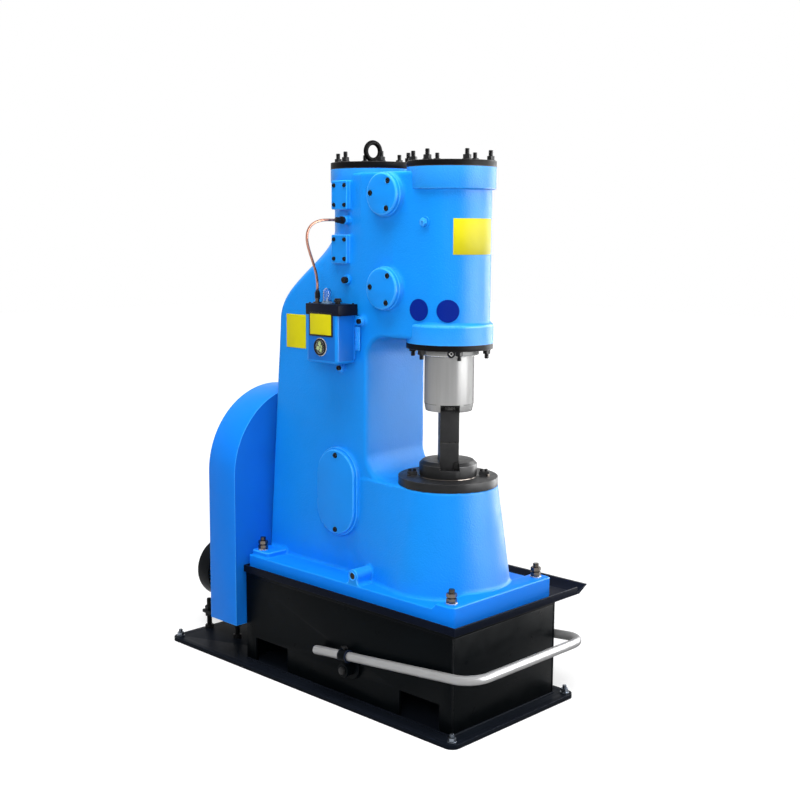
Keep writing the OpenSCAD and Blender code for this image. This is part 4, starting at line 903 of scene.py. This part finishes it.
# ---- plain plates, without words
def flat_plate(name, x0, x1, z0, z1, face, t, border, mats, rivets):
    """Plate on the near side; a border is the plate below (material 0) round a thin one (material 1)."""
    cx, cz, w, h = (x0 + x1) / 2, (z0 + z1) / 2, x1 - x0, z1 - z0
    s = Shape().add(*cover(w, h, 2.2, t, 0.3, n=3, segs=2), near(cx, -face, cz))
    if border:
        below = len(s.m)
        s.add(*cover(w - 2 * border, h - 2 * border, 1.2, 0.35, 0.15, n=3, segs=2, z0=t - 0.05), near(cx, -face, cz))
        s.m = [0] * below + [1] * (len(s.m) - below)
    for a, b in CORNERS if rivets else ():
        s.add(*lathe([(1.7, 0), (1.5, 0.5), (0.9, 0.85), (0, 0.95)], 14), 2,
              near(cx + a * (w / 2 - 4), -face - t, cz + b * (h / 2 - 4)))
    build(name, s, mats)


flat_plate("plate_tank", -133, -43, 965, 1028, -ty0, 2.3, 4.6, "plastic yellow steel_edge", False)
flat_plate("plate_column", -315, -235, 917, 1010, HALF_COL - 0.5, 1.5, 0, "yellow yellow yellow_dark", True)
nx, ny = tangent(RAM_X, 0.0, CYL_R, CHEEK_X, HALF_COL, -1)
CHEEK = Vector((float(nx), -float(ny), 0))  # the flat cheek's normal, on the near side


def wrap(s, z, off):
    """Point on the front cylinder's near side: s runs along its surface from where the flat cheek meets it."""
    a = math.atan2(CHEEK.y, CHEEK.x) + max(s, 0) / CYL_R
    along = Vector((-CHEEK.y, CHEEK.x, 0)) * min(s, 0)
    return tuple(Vector((RAM_X, 0, z)) + Vector(polar(CYL_R + off, a)) + along)


def wrapped_disc(cs, cz, r):
    t, n = 2.4, 56
    rows = [(r, -0.6), (r, t - 0.3), (r - 0.3, t)] + [(r * k / 6, t) for k in range(5, 0, -1)]
    v = [wrap(cs + x, cz + y, h) for a, h in rows for x, y, _ in circle(a, 0, n)] + [wrap(cs, cz, t)]
    last = (len(rows) - 1) * n
    return v, bands(len(rows), n) + [(last + i, last + (i + 1) % n, len(v) - 1) for i in range(n)]


def wrapped_plate(s0, s1, z0, z1):
    t, n = 1.4, 36
    v, f = [], []
    for k in range(n + 1):
        c = s0 + (s1 - s0) * k / n
        v += [wrap(c, z, h) for z, h in ((z0, -0.6), (z0, t - 0.2), (z0 + 0.3, t), (z1 - 0.3, t), (z1, t - 0.2),
                                         (z1, -0.6))]
    for k in range(n):
        f += [(k * 6 + i, k * 6 + i + 1, k * 6 + i + 7, k * 6 + i + 6) for i in range(5)]
    return v, f + [tuple(range(5, -1, -1)), tuple(n * 6 + i for i in range(6))]


s = Shape().add(*wrapped_disc(-22.5, 1044, 28)).add(*wrapped_disc(58, 1043.5, 28.5))
build("plate_discs", s, "navy", smooth=40)
build("plate_cylinder", Shape().add(*wrapped_plate(69, 199, 1183, 1272.5)), "yellow", smooth=40)

# ---- guard, drive, motor
ob = dress("belt_guard_front belt_guard_rear belt_guard_rim", "sheet", 1.5, segs=3, name="belt_guard_dressed")
# faces that look along +x, towards the column, take the darker copy of the blue: painted shade
ob.data.materials.append(M["sheet_painted_shade"])
for q in ob.data.polygons:
    if q.normal.x > 0.95:
        q.material_index = 2
(PX0, _, kz0), (kx1, CRANK_R, kz1) = box_mm("crank_pulley")
(qx0, _, qz0), (PX1, PULLEY_R, qz1) = box_mm("motor_pulley")
CRANK_Z, MOTOR_Z = (kz0 + kz1) / 2, (qz0 + qz1) / 2
GROOVES = [PX0 + 11.75 + 11.5 * i for i in range(4)]


def pulley(r, z, n, rear, front):
    """A pulley at height z: its rear side, its rim with the grooves, and its front side."""
    prof = [(a, PX0 + h) for a, h in rear] + [(r - 1, PX0), (r, PX0 + 1)]
    for c in GROOVES:
        prof += [(r, c - 5.2), (r - 11, c - 3.0), (r - 11, c + 3.0), (r, c + 5.2)]
    prof += [(r, PX1 - 1), (r - 1, PX1)] + [(a, PX1 + h) for a, h in front]
    return lathe(prof, n, (0, 0, z), "x")


tip = kx1 - PX1
s = Shape().add(*pulley(CRANK_R, CRANK_Z, 128,
                        [(0, 2), (24, 2), (26, 4), (46, 4), (48, 6), (50, 20), (160, 23), (166, 1)],
                        [(166, -1), (160, -23), (50, -20), (48, 8), (27, 10), (25, 10), (25, tip), (0, tip)]))
for k in range(5):
    s.add(*prism([(48, -9), (165, -6), (165, 6), (48, 9)], -20, 20, "x"), 0,
          shift((PX0 + PX1) / 2, 0, CRANK_Z) @ rot(72 * k, "X"))
s.add(*prism([(-4, 22), (4, 22), (4, 29), (-4, 29)], PX0 + 1, PX0 + 20, "x"), 0, shift(0, 0, CRANK_Z))
build("crank_pulley_turned", s, "iron", stands_for="crank_pulley")
s = Shape().add(*pulley(PULLEY_R, MOTOR_Z, 64, [(0, qx0 - PX0), (14, qx0 - PX0), (14, 0)],
                        [(30, 0), (28, -5), (15, -5), (13, -4), (12, -2), (0, -2)]))
build("motor_pulley_turned", s, "iron", stands_for="motor_pulley")
lean = math.asin((CRANK_R - PULLEY_R) / (CRANK_Z - MOTOR_Z))
loop = [(CRANK_Z, CRANK_R, -lean + (pi + 2 * lean) * i / 56) for i in range(57)]
loop += [(MOTOR_Z, PULLEY_R, pi + lean + (pi - 2 * lean) * i / 24) for i in range(25)]
belt = [(2.6, -4.6), (2.6, 4.6), (1.8, 5.0), (-5.8, 3.4), (-6.4, 3.0), (-6.4, -3.0), (-5.8, -3.4), (1.8, -5.0)]
s = Shape()
for c in GROOVES:
    s.add([(c + x, (r + t) * cos(a), z + (r + t) * sin(a)) for z, r, a in loop for t, x in belt],
          bands(len(loop), len(belt), ring=True))
build("v_belts", s, "belt", smooth=30, stands_for="drive_belts")

# motor: finned frame, shields, fan cover with its grille, feet
(mx0, _, _), (mx1, _, mz1) = box_mm("motor_body")
MR = mz1 - MOTOR_Z
motor = Shape()


def turned(x, profile, n=72, mat=0):
    motor.add(*lathe([(r, x + h) for r, h in profile], n, (0, 0, MOTOR_Z), "x"), mat)


fins = [polar(r, TAU * (i + q) / 44) for i in range(44)
        for r, q in ((MR - 11, 0.08), (MR - 11, 0.42), (MR - 2, 0.58), (MR - 2, 0.92))]
motor.add(*prism([(y, z + MOTOR_Z) for y, z, _ in fins], mx0 + 58, mx1 - 30, "x"))
turned(mx1, [(MR - 8, -34), (MR, -32), (MR, -20), (MR - 2, -16), (78, -12), (74, -5), (60, -3), (34, -2), (32, 0),
             (15, 0), (14.5, -2), (0, -2)])
turned(mx0, [(MR - 6, 66), (MR, 65), (MR, 56), (MR - 3, 53)])
turned(mx0, [(MR - 6, 58), (MR - 3, 58), (MR - 3, 12), (MR - 5, 5), (MR - 9, 1.5), (MR - 14, 0), (MR - 18, 0),
             (MR - 18, 3), (MR - 13, 4), (MR - 8, 8), (MR - 6, 14), (MR - 6, 58)])
for r0, r1 in ((64, 70), (52, 57), (40, 45), (28, 33)):
    turned(mx0, [(r0, 0), (r1, 0), (r1, 3), (r0, 3), (r0, 0)], 56)
turned(mx0, [(0, 0), (20, 0), (21, 1), (21, 3), (0, 3)], 40)
for k in range(8):
    motor.add(*block(mx0 + 0.5, mx0 + 3.5, 18, 80, -2.5, 2.5), 0, shift(0, 0, MOTOR_Z) @ rot(45 * k, "X"))
    motor.add(*block(mx0 + 14, mx0 + 34, 12, 76, -1.4, 1.4), 1, shift(0, 0, MOTOR_Z) @ rot(45 * (k + 0.5), "X"))
turned(mx0, [(0, 12), (14, 12), (14, 30), (78, 36), (78, 40), (0, 40)], 40, 1)
(ax0, ay0, az0), (ax1, ay1, az1) = box_mm("motor_plate")
for x in (ax0 + 12, ax1 - 46):
    for side in SIDES:
        motor.add(*cover(34, 40, 5, 12, 2, [(0, 6 * side, 5.5, 5.5, 9)], n=4), move(x + 17, side * 80, az1))
        web = ((62, az1 + 10), (95, az1 + 10), (86, MOTOR_Z - 40), (74, MOTOR_Z - 18), (60, MOTOR_Z - 40))
        motor.add(*prism([(side * y, z) for y, z in web], x + 9, x + 25, "x"))
build("motor_frame", motor, "motor motor_dark", smooth=30, stands_for="motor_body")
(ux0, uy0, uz0), (ux1, uy1, uz1) = box_mm("motor_terminal_box")
mid, wide = (ux0 + ux1) / 2, ux1 - ux0
holes = [(a * (wide - 18) / 2, b * (uy1 - 9)) for a, b in CORNERS]
s = Shape().add(*cover(wide - 8, uy1 * 2 - 8, 8, uz1 - 14 - uz0, 1, n=5), move(mid, 0, uz0))
s.add(*cover(wide, uy1 * 2, 9, 13.5, 3, [(x, y, 4.5, 4.0, 3) for x, y in holes], n=6), move(mid, 0, uz1 - 13.5))
for x, y in holes:
    s.add(*head(7.4, 3.2, 3, 1.6, True, z=uz1 - 3), 2, move(mid + x, y, 0))
for x in (mid - 20, mid + 20):
    at = near(x, uy0 + 3, (uz0 + uz1) / 2 - 2)
    s.add(*nut(24, 7), 2, at)
    s.add(*lathe([(10, 7), (10, 9)], 24), 2, at)
    s.add(*nut(21, 9, z=8.5), 2, at)
    s.add(*lathe([(9.6, 17.3), (8.6, 20), (6.2, 22.5), (5.4, 22.5), (5.4, 18), (0, 18)], 24), 2, at)
build("terminal_box", s, "motor black_edge fastener", smooth=30, stands_for="motor_terminal_box")
dress("motor_plate", "black", 1.5)
s = Shape()
for x in (ax0 + 14, ax1 - 14):
    for y in (ay0 + 16, ay1 - 16):
        s.add(*thread(16, 2.0, PLATE_TOP, az1 + 34), 0, move(x, y, 0))
        for z in (PLATE_TOP, az0 - 11, az1):
            s.add(*nut(24, 11, z=z), 0, move(x, y, 0, random.uniform(0, 60)))
for x in (ax0 + 29, ax1 - 29):
    for side in SIDES:
        at = move(x, side * 86, az1 + 12)
        s.add(*washer(20, 10.5, 2), 0, at)
        s.add(*nut(17, 7, z=2), 0, at @ rot(random.uniform(0, 60), "Z"))
        s.add(*thread(10, 1.5, 8, 15), 0, at)
build("motor_jacks", s, smooth=40, stands_for="motor_jack_rods")
# feet of the guard, and its screws
GUARD_REAR, GUARD_FRONT = -519, box_mm("belt_guard_front")[1][0]
s = Shape()
for x, d in ((GUARD_FRONT, 1), (GUARD_REAR, -1)):
    s.add(*block(*sorted((x, x + 6 * d)), 210, 228, PLATE_TOP, 138))
    s.add(*block(*sorted((x - 24 * d, x + 6 * d)), 206, 232, PLATE_TOP, PLATE_TOP + 6))
    s.add(*head(11, 5, 5, 3), 0, shift(x + 6 * d, 219, 126) @ rot(90 * d, "Y"))
build("guard_feet", s, bevel=0.8, smooth=30)
s = Shape()
for a in (-18, 22, 62, 118, 158, 198):
    y, z, _ = polar(226, radians(a))
    s.add(*head(9, 3.4, 4, 2, True), 0, shift(GUARD_REAR, y, CRANK_Z + z) @ rot(-90, "Y"))
build("guard_screws", s)
# weld round the foot of the box
corner = [(x + (BOX_X0 + BOX_X1) / 2, y) for x, y in rrect(BOX_X1 - BOX_X0, 2 * HALF_W, 1.5, 0, 3)]
line, v = [], []
for (x, y), (u, w) in zip(corner, corner[1:] + corner[:1]):
    k = max(1, int(math.dist((x, y), (u, w)) / 6))
    line += [(x + (u - x) * j / k, y + (w - y) * j / k) for j in range(k)]
for i, (x, y) in enumerate(line):
    (x0, y0), (x1, y1) = line[i - 1], line[(i + 1) % len(line)]
    q = math.hypot(x1 - x0, y1 - y0)
    r = 3.4 + 0.35 * sin(i * 2.1) + 0.2 * random.random()
    v += [(x + a * (y1 - y0) / q, y - a * (x1 - x0) / q, PLATE_TOP + b) for a, b, _ in circle(r, 0, 8)]
build("box_weld", Shape().add(v, bands(len(line), 8, ring=True)), "plate", smooth=60)

# ---- treadle
dress("treadle_bar", "pipe", 0, body="treadle")
dress("treadle_clamps", "black", 1.5, segs=3, body="treadle")
dress("treadle_shaft", "fastener", 1.5, body="treadle")
dress("treadle_bearings", "black", 1.0)
(bx0, _, bz0), (bx1, _, bz1) = box_mm("treadle_shaft")
SLOPE, BAR = 5.6, 36.5  # lean of the clamps, and the height of the bar's axis over the shaft's
s = Shape()
for side in SIDES:
    base = shift((bx0 + bx1) / 2, side * (HALF_W + 22.5), (bz0 + bz1) / 2) @ rot(-SLOPE, "Y")
    at = base @ shift(0, 0, BAR)
    s.add(*lathe([(4.2, 14), (4.2, 22), (3.4, 23)], 20), 0, at)
    s.add(*loft([circle(r, h, 18) for r, h in ((5.8, 19), (6.4, 20), (6.4, 24.5), (5.6, 25.5))]), 0, at)
    s.add(*sweep([(x, 0, 22.5) for x in (-12, -8, 8, 12)], 2.1, 14), 0, at)
    for x in (-13.5, 13.5):
        s.add(*lathe([(13.0, x - 1.6), (16.4, x - 1.6), (17.2, x - 0.8), (17.2, x + 0.8), (16.4, x + 1.6),
                      (13.0, x + 1.6)], 40, axis="x"), 1, at)
    s.add(*lathe([(15.0, -12.0), (17.1, -12.0), (17.1, 12.0), (15.0, 12.0)], 40, axis="x"), 2, at)
    s.add(*nut(15, 5), 3, base @ shift(0, side * 13, 0) @ rot(-90 * side, "X"))
build("clamp_screws", s, "fastener pan_edge pan black", "treadle")


# ---- fasteners
def studs(name, points, z, tall, wide, thick, tilt=None):
    """12 mm studs with their nuts, and washers that are so wide and so thick."""
    s = Shape()
    for x, y in points:
        m = move(x, y, z, random.uniform(0, 60), tilt)
        s.add(*washer(wide, 12, thick), 0, m)
        s.add(*nut(18, 10, z=thick), 0, m)
        s.add(*thread(12, 1.75, thick + 10 - 1, tall), 0, m)
    build(name, s, smooth=40)


studs("front_cap_studs", ring_points(RAM_X, 98.8, 6, 34), FRONT_CAP, 26.5, 24, 2.2)
studs("rear_cap_studs", ring_points(REAR_X, 98.8, 6, 28), REAR_CAP, 26.5, 24, 2.2)
studs("gland_studs", ring_points(RAM_X, 98.5, 6, 26), GLAND_LOW, 23.5, 22, 1.6, rot(180, "X"))
s = Shape()
for x in (FOOT_X1 - 31, FOOT_X0 + 35):
    for side in SIDES:
        m = move(x, side * 168, PAD_TOP, 18 + random.uniform(-5, 5))
        upper = move(x, side * 168, PAD_TOP, 12 + random.uniform(-8, 8))
        s.add(*washer(30, 16.4, 3), 1, m)
        s.add(*nut(24, 12, z=3), 0, m)
        s.add(*thread(16, 2.0, 14, 18), 2, m)
        s.add(*nut(24, 10.5, z=16.8), 0, upper)
        s.add(*thread(16, 2.0, 27, 37), 0, m)
build("hold_down_nuts", s, "zinc steel_edge fastener", smooth=30)
s = Shape()
for x in (PLATE_X0 + 21, PLATE_X1 - 21):
    for side in SIDES:
        m = move(x, side * (PLATE_Y - 21), PLATE_TOP, random.uniform(0, 60))
        s.add(*washer(24, 12.4, 2.5), 0, m)
        s.add(*nut(18, 10, z=2.5), 0, m)
        s.add(*thread(12, 1.75, 12, 21), 0, m)
build("anchor_bolts", s, "bolt", smooth=30)


# ---- floor, lights, camera
def add_camera():
    """The photograph's view: where the camera stands, where it looks, and its slight roll."""
    cam = bpy.data.cameras.new("camera")
    ob = bpy.data.objects.new("camera", cam)
    bpy.context.scene.collection.objects.link(ob)
    f = Vector((-0.69377, 0.70671, -0.13873)).normalized()
    r = f.cross(Vector((0, 0, 1))).normalized()
    u = r.cross(f)
    roll = 0.00484
    right, up = r * cos(roll) + u * sin(roll), u * cos(roll) - r * sin(roll)
    ob.matrix_world = shift(2.2776, -2.3579, 1.2457) @ Matrix((right, up, -f)).transposed().to_4x4()
    cam.lens, cam.sensor_width, cam.shift_x = 54.98, 36, 0.01734
    bpy.context.scene.camera = ob


add_camera()


def seen(nt):
    """1 for rays that show the backdrop: camera, glossy and transmission rays."""
    rays = node(nt, "LightPath").outputs
    out = rays["Is Camera Ray"]
    for kind in ("Is Glossy Ray", "Is Transmission Ray"):
        out = node(nt, "Math", {"operation": "MAXIMUM"}, i0=out, i1=rays[kind])
    return out


world = bpy.data.worlds.new("studio")
bpy.context.scene.world = world
world.use_nodes = True
nt = world.node_tree
feed(nt, nt.nodes["Background"], Color=(1, 1, 1, 1), Strength=0.27)
white = node(nt, "Background", Color=(1, 1, 1, 1), Strength=1.0)
feed(nt, nt.nodes["World Output"], Surface=node(nt, "MixShader", i0=seen(nt), i1=nt.nodes["Background"], i2=white))

# the floor glows only for those rays, more so far away, where it fades into the white
GLOW = 0.62
fm = bpy.data.materials.new("floor_white")
fm.use_nodes = True
nt = fm.node_tree
nt.nodes.remove(nt.nodes["Principled BSDF"])
shown = node(nt, "Math", MULTIPLY, i0=seen(nt), i1=GLOW)
distance = node(nt, "VectorMath", {"operation": "LENGTH"}, i0=node(nt, "TexCoord").outputs["Object"]).outputs["Value"]
far = node(nt, "MapRange", {"interpolation_type": "SMOOTHSTEP"}, Value=distance, From_Min=1.2, From_Max=4.5,
           To_Min=1.0, To_Max=1.6)
glow = node(nt, "Emission", Strength=node(nt, "Math", MULTIPLY, i0=shown, i1=far))
matt = node(nt, "BsdfDiffuse", Color=(0.5, 0.5, 0.5, 1))
feed(nt, nt.nodes["Material Output"], Surface=node(nt, "AddShader", i0=matt, i1=glow))
me = bpy.data.meshes.new("floor")
me.from_pydata([(-14, -14, 0), (14, -14, 0), (14, 14, 0), (-14, 14, 0)], [], [(0, 1, 2, 3)])
me.materials.append(fm)
floor = bpy.data.objects.new("floor", me)
bpy.context.scene.collection.objects.link(floor)


def lamp(name, kind, energy, at, aim, size, diffuse=True, glossy=True):
    l = bpy.data.lights.new(name, kind)
    l.energy = energy
    if kind == "AREA":
        l.shape, l.size, l.size_y = "RECTANGLE", size[0], size[1]
    else:
        l.angle = radians(size)
    o = bpy.data.objects.new(name, l)
    o.location = at
    o.rotation_euler = (Vector(aim) - Vector(at)).to_track_quat("-Z", "Y").to_euler()
    o.visible_diffuse, o.visible_glossy = diffuse, glossy
    o.visible_camera = o.visible_transmission = False
    bpy.context.scene.collection.objects.link(o)


lamp("key", "AREA", 16, (1.3, 0.0, 2.8), (0.15, 0, 1.0), (1.2, 1.2), glossy=False)
lamp("left", "AREA", 43, (1.75, -2.3, 1.75), (0, 0, 0.9), (1.3, 1.3), glossy=False)
lamp("top", "AREA", 92, (0.2, -0.5, 3.3), (0, 0, 0.7), (1.8, 1.8), glossy=False)
lamp("rim", "SUN", 0.7, (1.2, 1.5, 1.6), (0, 0, 0.8), 40, glossy=False)
lamp("sheen", "AREA", 100, (0.63, 2.13, 1.14), (0.1, 0, 1.14), (1.55, 2.2), diffuse=False)
lamp("sheen_b", "AREA", 215, (2.16, 0.74, 1.28), (0.1, 0, 1.28), (2.1, 2.0), diffuse=False)

bpy.context.scene.view_settings.view_transform = "Standard"
